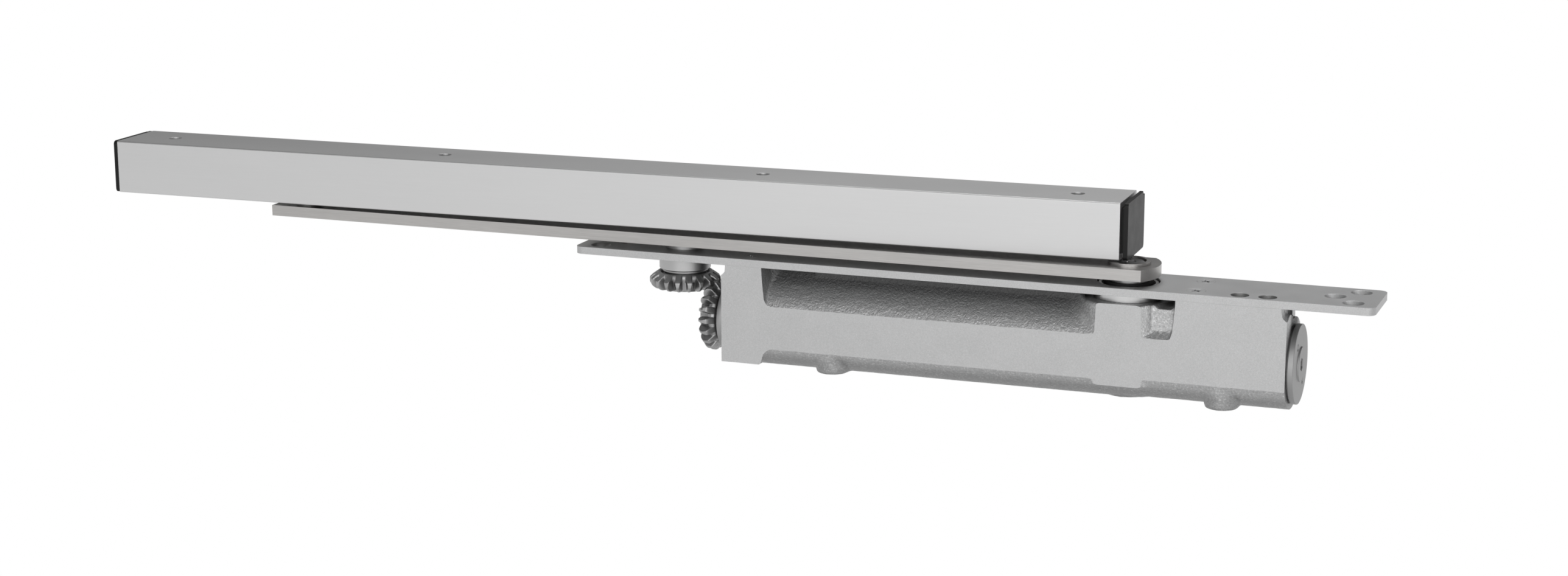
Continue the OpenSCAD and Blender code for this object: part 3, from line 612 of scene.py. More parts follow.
@dataclass
class Studio:
    """Camera, lamps, backdrop and floor.

    Attributes:
        eye: camera place in metres.
        turn: camera angles in degrees.
        lens: focal length for a 36 mm wide sensor.
        floor_z: floor level in metres.
        floor_half: half the floor's width in metres.
        backdrop: strength of the world as a light.
        ceiling: grey that reflections see above the horizon.
        lamps: name, place, size and power of each softbox.
    """

    eye: Place = (0.30964, -1.01216, 0.23097)
    turn: Place = (77.3996, 0.0812, 20.8636)
    lens: float = 63.0957
    floor_z: float = -0.42
    floor_half: float = 30.0
    backdrop: float = 0.14
    ceiling: float = 0.16
    lamps: tuple[Lamp, ...] = (
        ("key_softbox", (0.45, -1.9, 0.8), (3.0, 1.9), 31.0),
        ("top_softbox", (0.15, 0.75, 1.6), (1.6, 1.0), 18.0),
    )

    def build(self) -> None:
        """Makes everything of the studio."""
        self.camera()
        self.world()
        self.floor()
        for lamp in self.lamps:
            self.softbox(*lamp)
        bpy.context.scene.view_settings.view_transform = "Standard"

    def camera(self) -> None:
        """Places the camera."""
        data = bpy.data.cameras.new("camera")
        data.sensor_width = 36.0
        data.lens = self.lens
        data.clip_start = 0.01
        data.clip_end = 100.0
        eye = linked("camera", data)
        eye.location = self.eye
        eye.rotation_euler = tuple(math.radians(a) for a in self.turn)
        bpy.context.scene.camera = eye

    def world(self) -> None:
        """White to the camera, white going dark above the horizon in reflections, and a dim light."""
        r = Recipe("studio", world=True)
        bpy.context.scene.world = r.owner
        way = r.add("ShaderNodeTexCoord", output="Generated")
        height = r.axis_value(way, 2)
        room = r.mixed(height.ramp(0.0, 0.14), grey(1.0), grey(self.ceiling))
        dim = r.add("ShaderNodeBackground", inputs={"Color": room, "Strength": self.backdrop})
        board = r.mixed(r.add("ShaderNodeLightPath", output="Is Camera Ray"), room, grey(1.0))
        seen = r.add("ShaderNodeBackground", inputs={"Color": board, "Strength": 1.0})
        both = r.add("ShaderNodeMixShader", inputs={0: PaleFloor.looking(r), 1: dim, 2: seen})
        r.add("ShaderNodeOutputWorld", inputs={"Surface": both})

    def floor(self) -> None:
        """Lays the floor."""
        half = self.floor_half
        corners = [(-half, -half), (half, -half), (half, half), (-half, half)]
        mesh = bpy.data.meshes.new("floor")
        mesh.from_pydata([(x, y, self.floor_z) for x, y in corners], [], [(0, 1, 2, 3)])
        ground = linked("floor", mesh)
        mesh.materials.append(PaleFloor().build())

    @staticmethod
    def softbox(name: str, place: Place, size: Mark, power: float) -> None:
        """Adds one area lamp that faces the object.

        Args:
            name: its name.
            place: metres.
            size: width and height in metres.
            power: watts.
        """
        data = bpy.data.lights.new(name, "AREA")
        data.shape = "RECTANGLE"
        data.size, data.size_y = size
        data.energy = power
        lamp = linked(name, data)
        lamp.location = place
        lamp.rotation_mode = "QUATERNION"
        lamp.rotation_quaternion = Vector(place).to_track_quat("Z", "Y")


# Meshes worked out with numpy


def ring_grid(rows: int, columns: int) -> Array:
    """Faces of a ring whose rows and columns both close on themselves, as quads.

    Args:
        rows, columns: size of the grid of vertices.
    Returns:
        One row of four corners for each face.
    """
    row, column = np.meshgrid(np.arange(rows), np.arange(columns), indexing="ij")
    here, below, after = row * columns, (row + 1) % rows * columns, (column + 1) % columns
    corners = [here + column, here + after, below + after, below + column]
    return np.stack(corners, axis=-1).reshape(-1, 4)


def closed_grid(rows: int, columns: int) -> Array:
    """Faces of a tube whose vertices lie row by row, each row a closed loop, with a fan at each end.

    Args:
        rows: number of loops.
        columns: vertices in a loop; the fans' middles are the two vertices after the last loop.
    Returns:
        One row of four corners for each face, with -1 as the last corner of a triangle.
    """
    loop = np.arange(columns)
    after = (loop + 1) % columns
    middle, gone, base = np.full(columns, rows * columns), np.full(columns, -1), (rows - 1) * columns
    start = np.stack([middle, after, loop, gone], axis=-1)
    end = np.stack([middle + 1, base + loop, base + after, gone], axis=-1)
    return np.concatenate([ring_grid(rows, columns)[:-columns], start, end])


def new_piece(name: str, points: Array, faces: Array, sharp: float = 32.0) -> Object:
    """Makes a closed mesh object from points in millimetres, with its faces turned outwards.

    Args:
        name: object name.
        points: n by 3 array.
        faces: m by 4 array, with -1 as the last corner of a triangle.
        sharp: edges bent by more degrees than this are drawn sharp.
    Returns:
        The linked object.
    """
    sizes = np.where(faces[:, 3] < 0, 3, 4)
    corners = faces[faces >= 0]
    mesh = bpy.data.meshes.new(name)
    mesh.vertices.add(len(points))
    mesh.vertices.foreach_set("co", (np.asarray(points, np.float32) * MM).ravel())
    mesh.loops.add(len(corners))
    mesh.loops.foreach_set("vertex_index", corners.astype(np.int32))
    mesh.polygons.add(len(faces))
    starts = np.concatenate([[0], np.cumsum(sizes)[:-1]]).astype(np.int32)
    mesh.polygons.foreach_set("loop_start", starts)
    mesh.update(calc_edges=True)
    mesh.validate()
    piece = linked(name, mesh)
    outwards(mesh)
    soften(mesh, sharp)
    return piece


def outwards(mesh: Mesh) -> None:
    """Merges doubles and turns the faces of a closed mesh outwards.

    Args:
        mesh: the mesh, changed in place.
    """
    work = bmesh.new()
    work.from_mesh(mesh)
    bmesh.ops.remove_doubles(work, verts=work.verts, dist=1e-7)
    bmesh.ops.recalc_face_normals(work, faces=work.faces)
    if work.calc_volume(signed=True) < 0:
        bmesh.ops.reverse_faces(work, faces=work.faces)
    work.to_mesh(mesh)
    work.free()


def soften(mesh: Mesh, sharp: float) -> None:
    """Shades a mesh smooth but for edges bent by more than some degrees."""
    mesh.polygons.foreach_set("use_smooth", np.ones(len(mesh.polygons), bool))
    mesh.set_sharp_from_angle(angle=math.radians(sharp))


def read(things: bpy.types.bpy_prop_collection, key: str, kind: type, width: int = 1) -> Array:
    """Reads a value, or a vector of some width, of every vertex, edge, face or corner.

    Args:
        things: the mesh's vertices, edges, polygons or loops.
        key: name of the value.
        kind: type of the numbers.
        width: how many each thing has.
    Returns:
        All the numbers in one row.
    """
    values = np.empty(len(things) * width, kind)
    things.foreach_get(key, values)
    return values


def clothe(piece: Object, material: Material) -> None:
    """Gives a piece its one material and logs it.

    Args:
        piece: the piece.
        material: its finish.
    """
    piece.data.materials.clear()
    piece.data.materials.append(material)
    LOG.info("%s: %d faces in %s", piece.name, len(piece.data.polygons), material.name)


def lathe(name: str, profile: Sequence[Mark], centre: Place, axis: Axis, steps: int = 96) -> Object:
    """Turned solid: each profile point is carried round the axis.

    Point (s, r) at angle a goes to s along the axis, r cos a and r sin a across it.

    Args:
        name: object name.
        profile: points (place along the axis, radius) from one end to the other.
        centre: point that the axis runs through and places count from.
        axis: its direction.
        steps: points in a circle.
    Returns:
        The solid.
    """
    along, radius = np.array(profile, float).T
    angle = np.arange(steps) * 2 * np.pi / steps
    across = radius[:, None] * np.cos(angle)
    aside = radius[:, None] * np.sin(angle)
    place = np.broadcast_to(along[:, None], across.shape)
    stack = [place, across, aside] if axis is Axis.X else [across, aside, place]
    points = np.stack(stack, axis=-1).reshape(-1, 3)
    ends = np.zeros((2, 3))
    ends[:, 0 if axis is Axis.X else 2] = along[[0, -1]]
    points = np.concatenate([points, ends]) + np.array(centre, float)
    return new_piece(name, points, closed_grid(len(along), steps))


def brick(name: str, low: Place, high: Place) -> Object:
    """Straight-sided solid: a closed grid of two loops of four points.

    Args:
        name: object name.
        low, high: its lowest and highest corners.
    Returns:
        The solid.
    """
    (x0, y0, z0), (x1, y1, z1) = low, high
    loop = [(y0, z0), (y1, z0), (y1, z1), (y0, z1)]
    points = np.array([(x, y, z) for x in (x0, x1) for y, z in loop], float)
    middle = ((y0 + y1) / 2, (z0 + z1) / 2)
    points = np.concatenate([points, [(x0, *middle), (x1, *middle)]])
    return new_piece(name, points, closed_grid(2, 4))


def apply_modifiers(piece: Object) -> None:
    """Gives a piece the mesh that its modifiers make, and takes them off.

    Args:
        piece: the piece.
    """
    graph = bpy.context.evaluated_depsgraph_get()
    mesh = bpy.data.meshes.new_from_object(piece.evaluated_get(graph))
    piece.modifiers.clear()
    old, piece.data = piece.data, mesh
    bpy.data.meshes.remove(old)
    mesh.name = piece.name


def cut(target: Object, tool: Object, operation: str = "DIFFERENCE") -> None:
    """Takes a tool's shape from a piece, or keeps only what they share, and removes the tool.

    Args:
        target: the piece.
        tool: a closed solid.
        operation: DIFFERENCE or INTERSECT.
    """
    modifier = target.modifiers.new("cut", "BOOLEAN")
    modifier.solver = "MANIFOLD"
    modifier.operation = operation
    modifier.object = tool
    apply_modifiers(target)
    bpy.data.objects.remove(tool)


def lattice(cell: Array, seed: int) -> Array:
    """Repeatable pseudo-random value between -1 and 1 for whole-numbered cells.

    Args:
        cell: whole numbers, three for each cell.
        seed: picks one of many such patterns.
    Returns:
        One value for each cell.
    """
    x, y, z = cell[..., 0] * 73856093, cell[..., 1] * 19349663, cell[..., 2] * 83492791
    mixed = x ^ y ^ z ^ (seed * 2654435761)
    mixed = (mixed ^ (mixed >> 13)) * 1274126177
    return ((mixed ^ (mixed >> 16)) & 0xFFFF) / 32767.5 - 1


def value_noise(points: Array, size: float, seed: int) -> Array:
    """Smooth noise: values on a cubic lattice, blended by the smooth step of the place in the cell.

    Args:
        points: places, three numbers each.
        size: width of a cell.
        seed: picks one of many such patterns.
    Returns:
        One value between -1 and 1 for each point.
    """
    scaled = points / size
    cell = np.floor(scaled).astype(np.int64)
    part = scaled - cell
    part = part * part * (3 - 2 * part)
    total = np.zeros(points.shape[:-1])
    for corner in range(8):
        step = np.array([corner & 1, corner >> 1 & 1, corner >> 2 & 1])
        weight = np.where(step, part, 1 - part).prod(axis=-1)
        total += weight * lattice(cell + step, seed)
    return total


def blend_low(a: Array, b: Array, width: float) -> Array:
    """Smaller of two distances with a rounded inner corner, which joins two forms by a fillet."""
    return np.minimum(a, b) - np.maximum(width - np.abs(a - b), 0) ** 2 / (4 * width)


def blend_high(a: Array, b: Array, width: float) -> Array:
    """Larger of two distances with a rounded outer edge."""
    return -blend_low(-a, -b, width)


def smooth_step(value: Array, low: float, high: float) -> Array:
    """0 below low, 1 above high, and an S-shaped rise between them."""
    t = np.clip((value - low) / (high - low), 0, 1)
    return t * t * (3 - 2 * t)


def spaced(marks: Sequence[Mark]) -> Array:
    """Grid places whose spacing changes at given marks.

    Args:
        marks: places, each with the spacing from there to the next one.
    Returns:
        The places from the first mark to the last.
    """
    runs = [
        np.linspace(a, b, max(2, round((b - a) / step) + 1))[:-1]
        for (a, step), (b, _) in zip(marks, marks[1:])
    ]
    return np.concatenate([*runs, [marks[-1][0]]])


# Refined copies of CAD nodes


@dataclass(frozen=True)
class Eased:
    """How a CAD node is refined: triangles of a flat face are joined and edges are rounded.

    Attributes:
        width: width of the rounding in millimetres.
        steps: number of faces across it.
        angle: least bend of an edge that is rounded, in degrees.
    """

    width: float
    steps: int = 3
    angle: float = 28.0

    def build(
        self, frame: dict[str, object], name: str, material: Material, slot: str
    ) -> Object:
        """Copies a node, rounds its edges and lets the copy stand for it.

        Args:
            frame: the loaded frame.
            name: the node's name.
            material: its finish.
            slot: the record's material slot that the finish belongs to; not used.
        Returns:
            The refined piece.
        """
        mesh = frame["nodes"][name].data.copy()
        custom = mesh.attributes.get("custom_normal")
        if custom:
            mesh.attributes.remove(custom)
        work = bmesh.new()
        work.from_mesh(mesh)
        bmesh.ops.remove_doubles(work, verts=work.verts, dist=2e-6)
        flat = math.radians(0.6)
        bmesh.ops.dissolve_limit(work, angle_limit=flat, verts=work.verts, edges=work.edges)
        work.to_mesh(mesh)
        work.free()
        piece = linked(f"{name}_eased", mesh)
        mesh.polygons.foreach_set("use_smooth", np.ones(len(mesh.polygons), bool))
        bevel = piece.modifiers.new("ease", "BEVEL")
        bevel.width, bevel.segments = self.width * MM, self.steps
        bevel.limit_method, bevel.angle_limit = "ANGLE", math.radians(self.angle)
        bevel.use_clamp_overlap = True
        level = piece.modifiers.new("level", "WEIGHTED_NORMAL")
        level.mode, level.weight = "FACE_AREA", 60
        apply_modifiers(piece)
        clothe(piece, material)
        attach(piece, frame["nodes"][name]["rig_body"])
        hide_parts(name)
        return piece


EASED = {
    **dict.fromkeys(("mounting_plate", "bearing_collar", "gear_bush", "slide_pin"), Eased(0.3)),
    **dict.fromkeys(("plate_screws", "closing_speed_valve", "latch_speed_valve"), Eased(0.12, 2)),
    **dict.fromkeys(("horizontal_gear_clip", "vertical_gear_clip"), Eased(0.12, 2)),
    **dict.fromkeys(("bottom_cover", "gear_washer"), Eased(0.15, 2)),
    **dict.fromkeys(("arm_screw", "adjusting_screw"), Eased(0.2, 2)),
    **dict.fromkeys(("horizontal_gear", "vertical_gear"), Eased(0.42, 3, 40.0)),
    **dict.fromkeys(("arm", "slide_block"), Eased(0.4)),
    **dict.fromkeys(("track_end_cap_left", "track_end_cap_right"), Eased(0.5)),
    "end_plug": Eased(0.25, 2),
    "track_channel": Eased(0.25),
}


# Bevel gears and gland


@dataclass(frozen=True)
class BevelRim:
    """Toothed rim of a bevel gear whose cone point lies where the two gear axes cross.

    Attributes:
        node: the CAD gear that it belongs to.
        axis: direction of the gear's axis.
        phase: angle of the first tooth in degrees.
        hub_r: radius inside which the CAD gear is kept.
        level: distance from the cone point at which tip_r and root_r are the teeth's radii.
        heel_r: radius of the cylinder that limits the teeth's outer ends.
        back, web, toe: distances of the back, of the web between the teeth and of their inner ends.
        dish_r, dish: radius and distance of the hollow in the back.
        inner_r: radius of the hollow inside the teeth.
        ease, sharp: rounding of the outer ends, and the bend in degrees that is drawn sharp.
        heel: back cone and corner of the outer ends, as (distance from the back, radius limit).
        gap_from, flank: where a tooth's side ends and how wide it is, as shares of the pitch.
        samples, layers: points across one pitch and along one tooth.
    """

    node: str
    axis: Axis
    phase: float
    hub_r: float = 8.3
    teeth: int = 18
    level: float = 13.5
    tip_r: float = 15.8
    root_r: float = 10.2
    heel_r: float = 14.5
    back: float = 17.5
    web: float = 14.45
    toe: float = 10.6
    dish_r: float = 9.9
    dish: float = 15.9
    inner_r: float = 10.1
    ease: float = 0.9
    sharp: float = 75.0
    heel: tuple[Mark, ...] = ((0.05, 10.9), (0.4, 11.4), (1.9, 13.5), (2.45, 14.2), (2.9, 14.5))
    gap_from: float = 0.35
    flank: float = 0.26
    samples: int = 40
    layers: int = 14

    def rows(self, turn: Array) -> list[tuple[Array, Array]]:
        """Outline of the rim's section at each angle, as (radius, distance from the cone point).

        The tooth wave is 1 on a tooth and 0 in a gap, with rounded corners. Every point of a tooth
        lies on a straight line to the cone point, its radius limited by the heel.

        Args:
            turn: angles round the axis.
        Returns:
            One pair of arrays for each point of the section, in order round it.
        """
        u = np.abs((turn * self.teeth / (2 * np.pi) + 0.5) % 1 - 0.5)
        wave = np.clip((self.gap_from - u) / self.flank, 0, 1)
        wave = 0.35 * wave + 0.65 * smooth_step(wave, 0, 1)
        star = self.root_r + (self.tip_r - self.root_r) * wave
        flat = np.ones_like(turn)
        rise = smooth_step(wave, 0.05, 0.6)
        toe = self.web - (self.web - self.toe) * rise
        dish = [(self.hub_r, self.dish), (self.dish_r, self.dish)]
        dish += [(self.dish_r + 0.2, self.back - 0.2), (self.dish_r + 0.5, self.back)]
        outline = [(flat * self.hub_r, flat * self.web)] + [(flat * r, flat * z) for r, z in dish]
        for drop, limit in self.heel:
            z = self.back - drop
            outline.append((blend_low(star * z / self.level, flat * limit, 0.8), flat * z))
        heel_end = self.back - 3.0
        for share in np.linspace(1, 0, self.layers):
            z = toe + (heel_end - toe) * share
            end = 0.5 * max(0.0, 1 - share / 0.12) ** 2
            outline.append((blend_low(star * z / self.level, flat * self.heel_r, self.ease) - end, z))
        outline.append((np.minimum((self.root_r + 0.3) * toe / self.level, self.inner_r + 0.1), toe))
        outline.append((flat * self.inner_r, flat * self.web))
        return outline

    def build(self, frame: dict[str, object], material: Material) -> Object:
        """Makes the rim and leaves only the hub and shaft of the refined CAD gear.

        Args:
            frame: the loaded frame.
            material: the gear's finish.
        Returns:
            The rim.
        """
        count = self.teeth * self.samples
        turn = np.arange(count) * 2 * np.pi / count
        radius, level = (np.stack(part) for part in zip(*self.rows(turn)))
        angle = turn + math.radians(self.phase)
        across, aside = radius * np.cos(angle), radius * np.sin(angle)
        if self.axis is Axis.X:
            points = np.stack([level, aside, -across], axis=-1)
        else:
            points = np.stack([across, aside, level], axis=-1)
        points = points.reshape(-1, 3) + np.array([GEAR_X, 0, BORE_Z])
        rim = new_piece(f"{self.node}_rim", points, ring_grid(*radius.shape), self.sharp)
        clothe(rim, material)
        hub = bpy.data.objects[f"{self.node}_eased"]
        keep = [(-2, self.hub_r + 0.05), (40, self.hub_r + 0.05)]
        cut(hub, lathe("keep_hub", keep, (GEAR_X, 0, BORE_Z), self.axis, 72), "INTERSECT")
        soften(hub.data, 40.0)
        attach(rim, frame["nodes"][self.node]["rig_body"])
        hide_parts(self.node)
        return rim


def gland(material: Material) -> Object:
    """Turned gland at the gear end: a spigot and a rounded disc with a shallow step round the screw.

    Args:
        material: its finish.
    Returns:
        The piece that stands for the CAD gland.
    """
    profile = [
        (-94.6, 0.5), (-94.6, 9.0), (-97.5, 9.0), (-97.5, 13.9), (-97.9, 14.1), (-100.1, 14.1),
        (-100.45, 13.95), (-100.6, 13.6), (-100.6, 10.4), (-100.2, 10.2), (-100.2, 6.4), (-100.2, 0.5),
    ]
    piece = lathe("gland_disc", profile, (0, 0, BORE_Z), Axis.X, 160)
    bore = [(-90, 6.5), (-96.9, 6.5), (-96.9, 5.25), (-102, 5.25)]
    cut(piece, lathe("screw_bore", bore, (0, 0, BORE_Z), Axis.X, 160))
    soften(piece.data, 32.0)
    clothe(piece, material)
    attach(piece, "closer")
    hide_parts("end_gland")
    return piece


# Closer body


def between(value: Array, low: float, high: float) -> Array:
    """Distance to the space between two levels, below 0 inside."""
    return np.maximum(low - value, value - high)


def rod(a: Array, b: Array, place: Place) -> Array:
    """Distance to a round rod seen along its axis; place holds its two coordinates and its radius."""
    return np.hypot(a - place[0], b - place[1]) - place[2]


@dataclass(frozen=True)
class Casting:
    """The closer's cast body: a skin found round the bore's axis, then machined.

    Attributes:
        left, right: machined end faces.
        flat_y: half width across the machined sides.
        cast_r, cast_right_r: radii of the round casting left and right of the spindle.
        tower_r, tower_top_r: radii of the upright spindle tower at its foot and top.
        tower_top, tower_foot: upper and lower level of the tower.
        base_r, base_foot: radius and underside of the boss under the spindle.
        feet_x, foot_y: places of the two round feet.
        foot_r, foot_bottom: their radius and underside.
        lowest: level that no point of the skin goes below.
        pocket_left, pocket_bottom, pocket_floor: left edge, lower edge and floor of the small pocket.
        wall_top, wall_right: upper and right end of the wall behind the pocket.
        sill_bottom, sill_x: underside and ends of the step under the pocket.
        ridge, ridge_left: half width and left end of the ridge on top.
        pad, pad_x, pad_bottom: half width, ends and underside of the pad on the ridge.
        left_hollow, right_scoop: hollows of the upper end corners, as (x, z, radius).
        notch: left, front and lower bounds of the hollow behind the right scoop.
        lobe: round boss that stays in the right hollow, as (y, z, radius).
        valves_x, valve_y: places of the two regulating screws.
        screws: places along X of the plate's four screws, which stand at screw_y on both sides.
        grain: height of the skin's unevenness.
        left_edge, right_edge: inner sides of the end blocks, as (level, place).
    """

    left: float = -97.5
    right: float = 129.8
    flat_y: float = 15.75
    cast_r: float = 18.0
    cast_right_r: float = 17.5
    tower_r: float = 18.3
    tower_top_r: float = 18.0
    tower_top: float = -3.2
    tower_foot: float = -35.4
    base_r: float = 6.5
    base_foot: float = -42.0
    feet_x: tuple[float, float] = (-52.5, 104.8)
    foot_y: float = -8.2
    foot_r: float = 6.5
    foot_bottom: float = -41.8
    lowest: float = -42.39
    valves_x: tuple[float, float] = (110.8, 121.3)
    valve_y: float = -10.6
    screws: tuple[float, float] = (-86.9, 93.8)
    screw_y: float = 8.8
    pocket_left: float = 76.3
    pocket_bottom: float = -15.4
    pocket_floor: float = 13.1
    wall_top: float = -4.2
    wall_right: float = 89.5
    sill_bottom: float = -27.0
    sill_x: Mark = (73.8, 89.8)
    ridge: float = 4.5
    ridge_left: float = -87.5
    pad: float = 5.1
    pad_x: Mark = (-61.1, 53.5)
    pad_bottom: float = -3.2
    left_hollow: Place = (-99.7, -0.5, 4.3)
    right_scoop: Place = (131.8, -1.0, 4.4)
    notch: Place = (127.2, -3.0, -17.0)
    lobe: Place = (-9.2, -9.5, 6.0)
    grain: float = 0.045
    left_edge: tuple[Mark, ...] = (
        (-39.8, -80.8), (-35.4, -79.5), (-33.4, -77.9), (-15.9, -77.9), (-12.6, -79.3), (0, -80.3),
    )
    right_edge: tuple[Mark, ...] = (
        (-27, 84.3), (-16.3, 84.3), (-13.5, 85.6), (-8, 86.6), (0, 87.3),
    )

    @staticmethod
    def block(x: Array, z: Array, edge: Sequence[Mark], side: int) -> Array:
        """Distance to an upright block: the larger of those to its inner side and to its underside.

        Args:
            x, z: places.
            edge: levels, from the underside up, with the place of the inner side at each.
            side: 1 where the block lies left of its inner side, -1 where right.
        Returns:
            Distances, below 0 inside.
        """
        levels, places = np.array(edge, float).T
        inner = side * (x - np.interp(z, levels, places))
        return blend_high(inner, levels[0] - z, 0.9)

    def pocket(self, x: Array, wide: Array, z: Array, deep: Array) -> Array:
        """Distance to the small pocket right of the tower, whose walls lean in towards its flat floor.

        Args:
            x, wide, z: places, wide without its sign.
            deep: depth under the machined side.
        Returns:
            Distances, below 0 inside.
        """
        right = np.interp(z, [self.pocket_bottom, -12, 0], [85.8, 86.65, 87.55])
        sides = blend_high(self.pocket_left + 0.62 * deep - x, x - right + 0.22 * deep, 0.9)
        sides = blend_high(sides, self.pocket_bottom + deep - z, 0.9)
        return blend_high(sides, self.pocket_floor - wide, 0.5)

    def distance(self, p: Array) -> Array:
        """Rough distance to the casting's skin, before machining.

        The round casting, the two blocks, the tower on its base, the wall, the ridge with its pad
        and the feet are joined one after another with fillets; the corner hollows are taken out.

        Args:
            p: places, three numbers each.
        Returns:
            Distances, below 0 inside.
        """
        x, y, z = p[..., 0], p[..., 1], p[..., 2]
        wide = np.abs(y)
        deep = np.clip(self.flat_y - wide, -0.5, 6)
        from_spindle = np.hypot(x - SPINDLE_X, y)
        round_r = self.cast_r - (self.cast_r - self.cast_right_r) * smooth_step(x, 72, 76)
        body = rod(y, z, (0, BORE_Z, round_r))
        block_side = wide - 19
        body = blend_low(body, blend_high(self.block(x, z, self.left_edge, 1), block_side, 0.9), 1.5)
        body = blend_low(body, blend_high(self.block(x, z, self.right_edge, -1), block_side, 0.9), 1.3)
        tower = from_spindle - self.tower_r
        tower = tower + (self.tower_r - self.tower_top_r) * smooth_step(z, -20, -3)
        tower = blend_high(tower, np.maximum(z - self.tower_top, self.tower_foot - z), 0.9)
        near_flat = smooth_step(15.9 - wide, 0, 7)
        fillet = 0.7 + near_flat * (0.9 + 2.6 * smooth_step(SPINDLE_X - x, 4, 14))
        body = blend_low(body, tower, fillet)
        base = blend_high(from_spindle - self.base_r, self.base_foot - z, 0.8)
        body = blend_low(body, np.maximum(base, z - BORE_Z), 0.8)
        wall = between(z, BORE_Z, self.wall_top)
        wall = np.maximum(wall, between(x, SPINDLE_X, self.wall_right))
        body = blend_low(body, np.maximum(wall, wide - self.pocket_floor), 2.6)
        sill = np.maximum(z - self.pocket_bottom - deep, self.sill_bottom - z)
        sill = np.maximum(sill, between(x, *self.sill_x))
        body = np.minimum(body, np.maximum(sill, block_side))
        body = blend_high(body, -self.pocket(x, wide, z, deep), 0.7)
        ridge = np.maximum(wide - self.ridge, between(x, self.ridge_left, SPINDLE_X))
        body = blend_low(body, np.maximum(ridge, BORE_Z - z), 6.0)
        pad = blend_high(wide - self.pad, between(x, *self.pad_x), 0.6)
        body = blend_low(body, np.maximum(pad, self.pad_bottom - z), 1.0)
        for foot_x in self.feet_x:
            foot = rod(x, y, (foot_x, self.foot_y, self.foot_r))
            foot = blend_high(foot, self.foot_bottom - z, 1.2)
            body = blend_low(body, np.maximum(foot, z - BORE_Z), 1.5)
        body = blend_high(body, -rod(x, z, self.left_hollow), 0.8)
        left, front, low = self.notch
        notch = np.maximum(np.maximum(left - x, front - y), low - z)
        hollow = np.minimum(rod(x, z, self.right_scoop), notch)
        lobe = np.minimum(rod(y, z, self.lobe), rod(y, z, (0, BORE_Z, self.cast_r)))
        return blend_high(body, -blend_high(hollow, -lobe, 0.6), 0.6)

    def lines(self) -> tuple[Array, Array]:
        """Grid lines, closer where walls stand and where the skin is seen.

        Returns:
            Places along X, and angles in radians.
        """
        x = spaced([
            (-99.0, 0.5), (-94.5, 1.4), (-83.5, 0.33), (-74.5, 0.85), (-64.5, 0.42), (-45.0, 0.85),
            (43.0, 0.42), (56.0, 0.5), (75.0, 0.4), (92.5, 0.5), (113.5, 0.8), (126.3, 0.34),
            (131.3, 0.4),
        ])
        half = spaced([
            (0.0, 1.5), (10.0, 0.9), (18.0, 1.35), (63.0, 6.0), (117.0, 1.35), (180.0, 1.0),
        ])
        turn = np.concatenate([half, 360 - half[-2:0:-1]])
        return x, np.radians(turn)

    def skin(self) -> Array:
        """Points of the skin: on each ray from the bore's axis, halving finds where the distance is 0.

        The ray at place x and angle a runs from (x, 0, axis) along (0, -sin a, cos a). The points then
        move along the slope of the distance by noise of three sizes, as a casting is uneven.

        Returns:
            Grid of points, row by row along X.
        """
        x, turn = self.lines()
        x, turn = np.meshgrid(x, turn, indexing="ij")
        way = np.stack([np.zeros_like(turn), -np.sin(turn), np.cos(turn)], axis=-1)
        start = np.stack([x, np.zeros_like(x), np.full_like(x, BORE_Z)], axis=-1)
        near, far = np.full(x.shape, 6.0), np.full(x.shape, 48.0)
        for _ in range(22):
            middle = (near + far) / 2
            inside = self.distance(start + way * middle[..., None]) < 0
            near, far = np.where(inside, middle, near), np.where(inside, far, middle)
        points = start + way * far[..., None]
        return points + self.slope(points) * self.unevenness(points)[..., None]

    def slope(self, points: Array) -> Array:
        """Direction in which the distance grows, from its differences 0.05 mm either way.

        Args:
            points: places, three numbers each.
        Returns:
            One unit vector for each point.
        """
        steps = np.eye(3) * 0.05
        moved = [self.distance(points + step) - self.distance(points - step) for step in steps]
        way = np.stack(moved, axis=-1)
        return way / np.maximum(np.linalg.norm(way, axis=-1, keepdims=True), 1e-9)

    def unevenness(self, points: Array) -> Array:
        """Height of the skin's grain: noise of three sizes, which fades out on the ridge and the pad.

        Args:
            points: places, three numbers each.
        Returns:
            One height for each point.
        """
        grain = (
            value_noise(points, 5.0, 3) * 0.55
            + value_noise(points, 1.9, 5) * 0.75
            + value_noise(points, 0.95, 9) * 0.8
        )
        off_ridge = smooth_step(np.abs(points[..., 1]), 5, 7.5)
        share = np.maximum(off_ridge, smooth_step(-points[..., 2], 6.5, 8))
        return share * grain * self.grain

    def machine(self, body: Object) -> None:
        """Cuts the flats and ends, then the bores, the valve holes and the screw holes.

        Args:
            body: the casting, changed in place.
        """
        flats = brick("flats", (self.left, -self.flat_y, -60), (self.right, self.flat_y, 0))
        cut(body, flats, "INTERSECT")
        bore = [
            (-99, 9.03), (-94.5, 9.03), (-94.5, 5.4), (-91.7, 5.4),
            (-91.7, 12.5), (120.5, 12.5), (120.5, 13.43), (131, 13.43),
        ]
        cut(body, lathe("bore", bore, (0, 0, BORE_Z), Axis.X))
        spindle = [
            (-60, 5.03), (-38.9, 5.03), (-38.9, 8.96), (-29.5, 8.96), (-29.5, 12.6),
            (-19.3, 12.6), (-19.3, 11.01), (-3.2, 11.01), (-3.2, 17.0), (1, 17.0),
        ]
        cut(body, lathe("spindle_bores", spindle, (SPINDLE_X, 0, 0), Axis.Z))
        for x in self.valves_x:
            valve = [(-15.2, 2.9), (-2, 2.9), (-2, 3.5), (1, 3.5)]
            cut(body, lathe("valve_hole", valve, (x, self.valve_y, 0), Axis.Z, 48))
        for x in self.screws:
            for y in (-self.screw_y, self.screw_y):
                cut(body, lathe("screw_hole", [(-9, 2.03), (1, 2.03)], (x, y, 0), Axis.Z, 32))

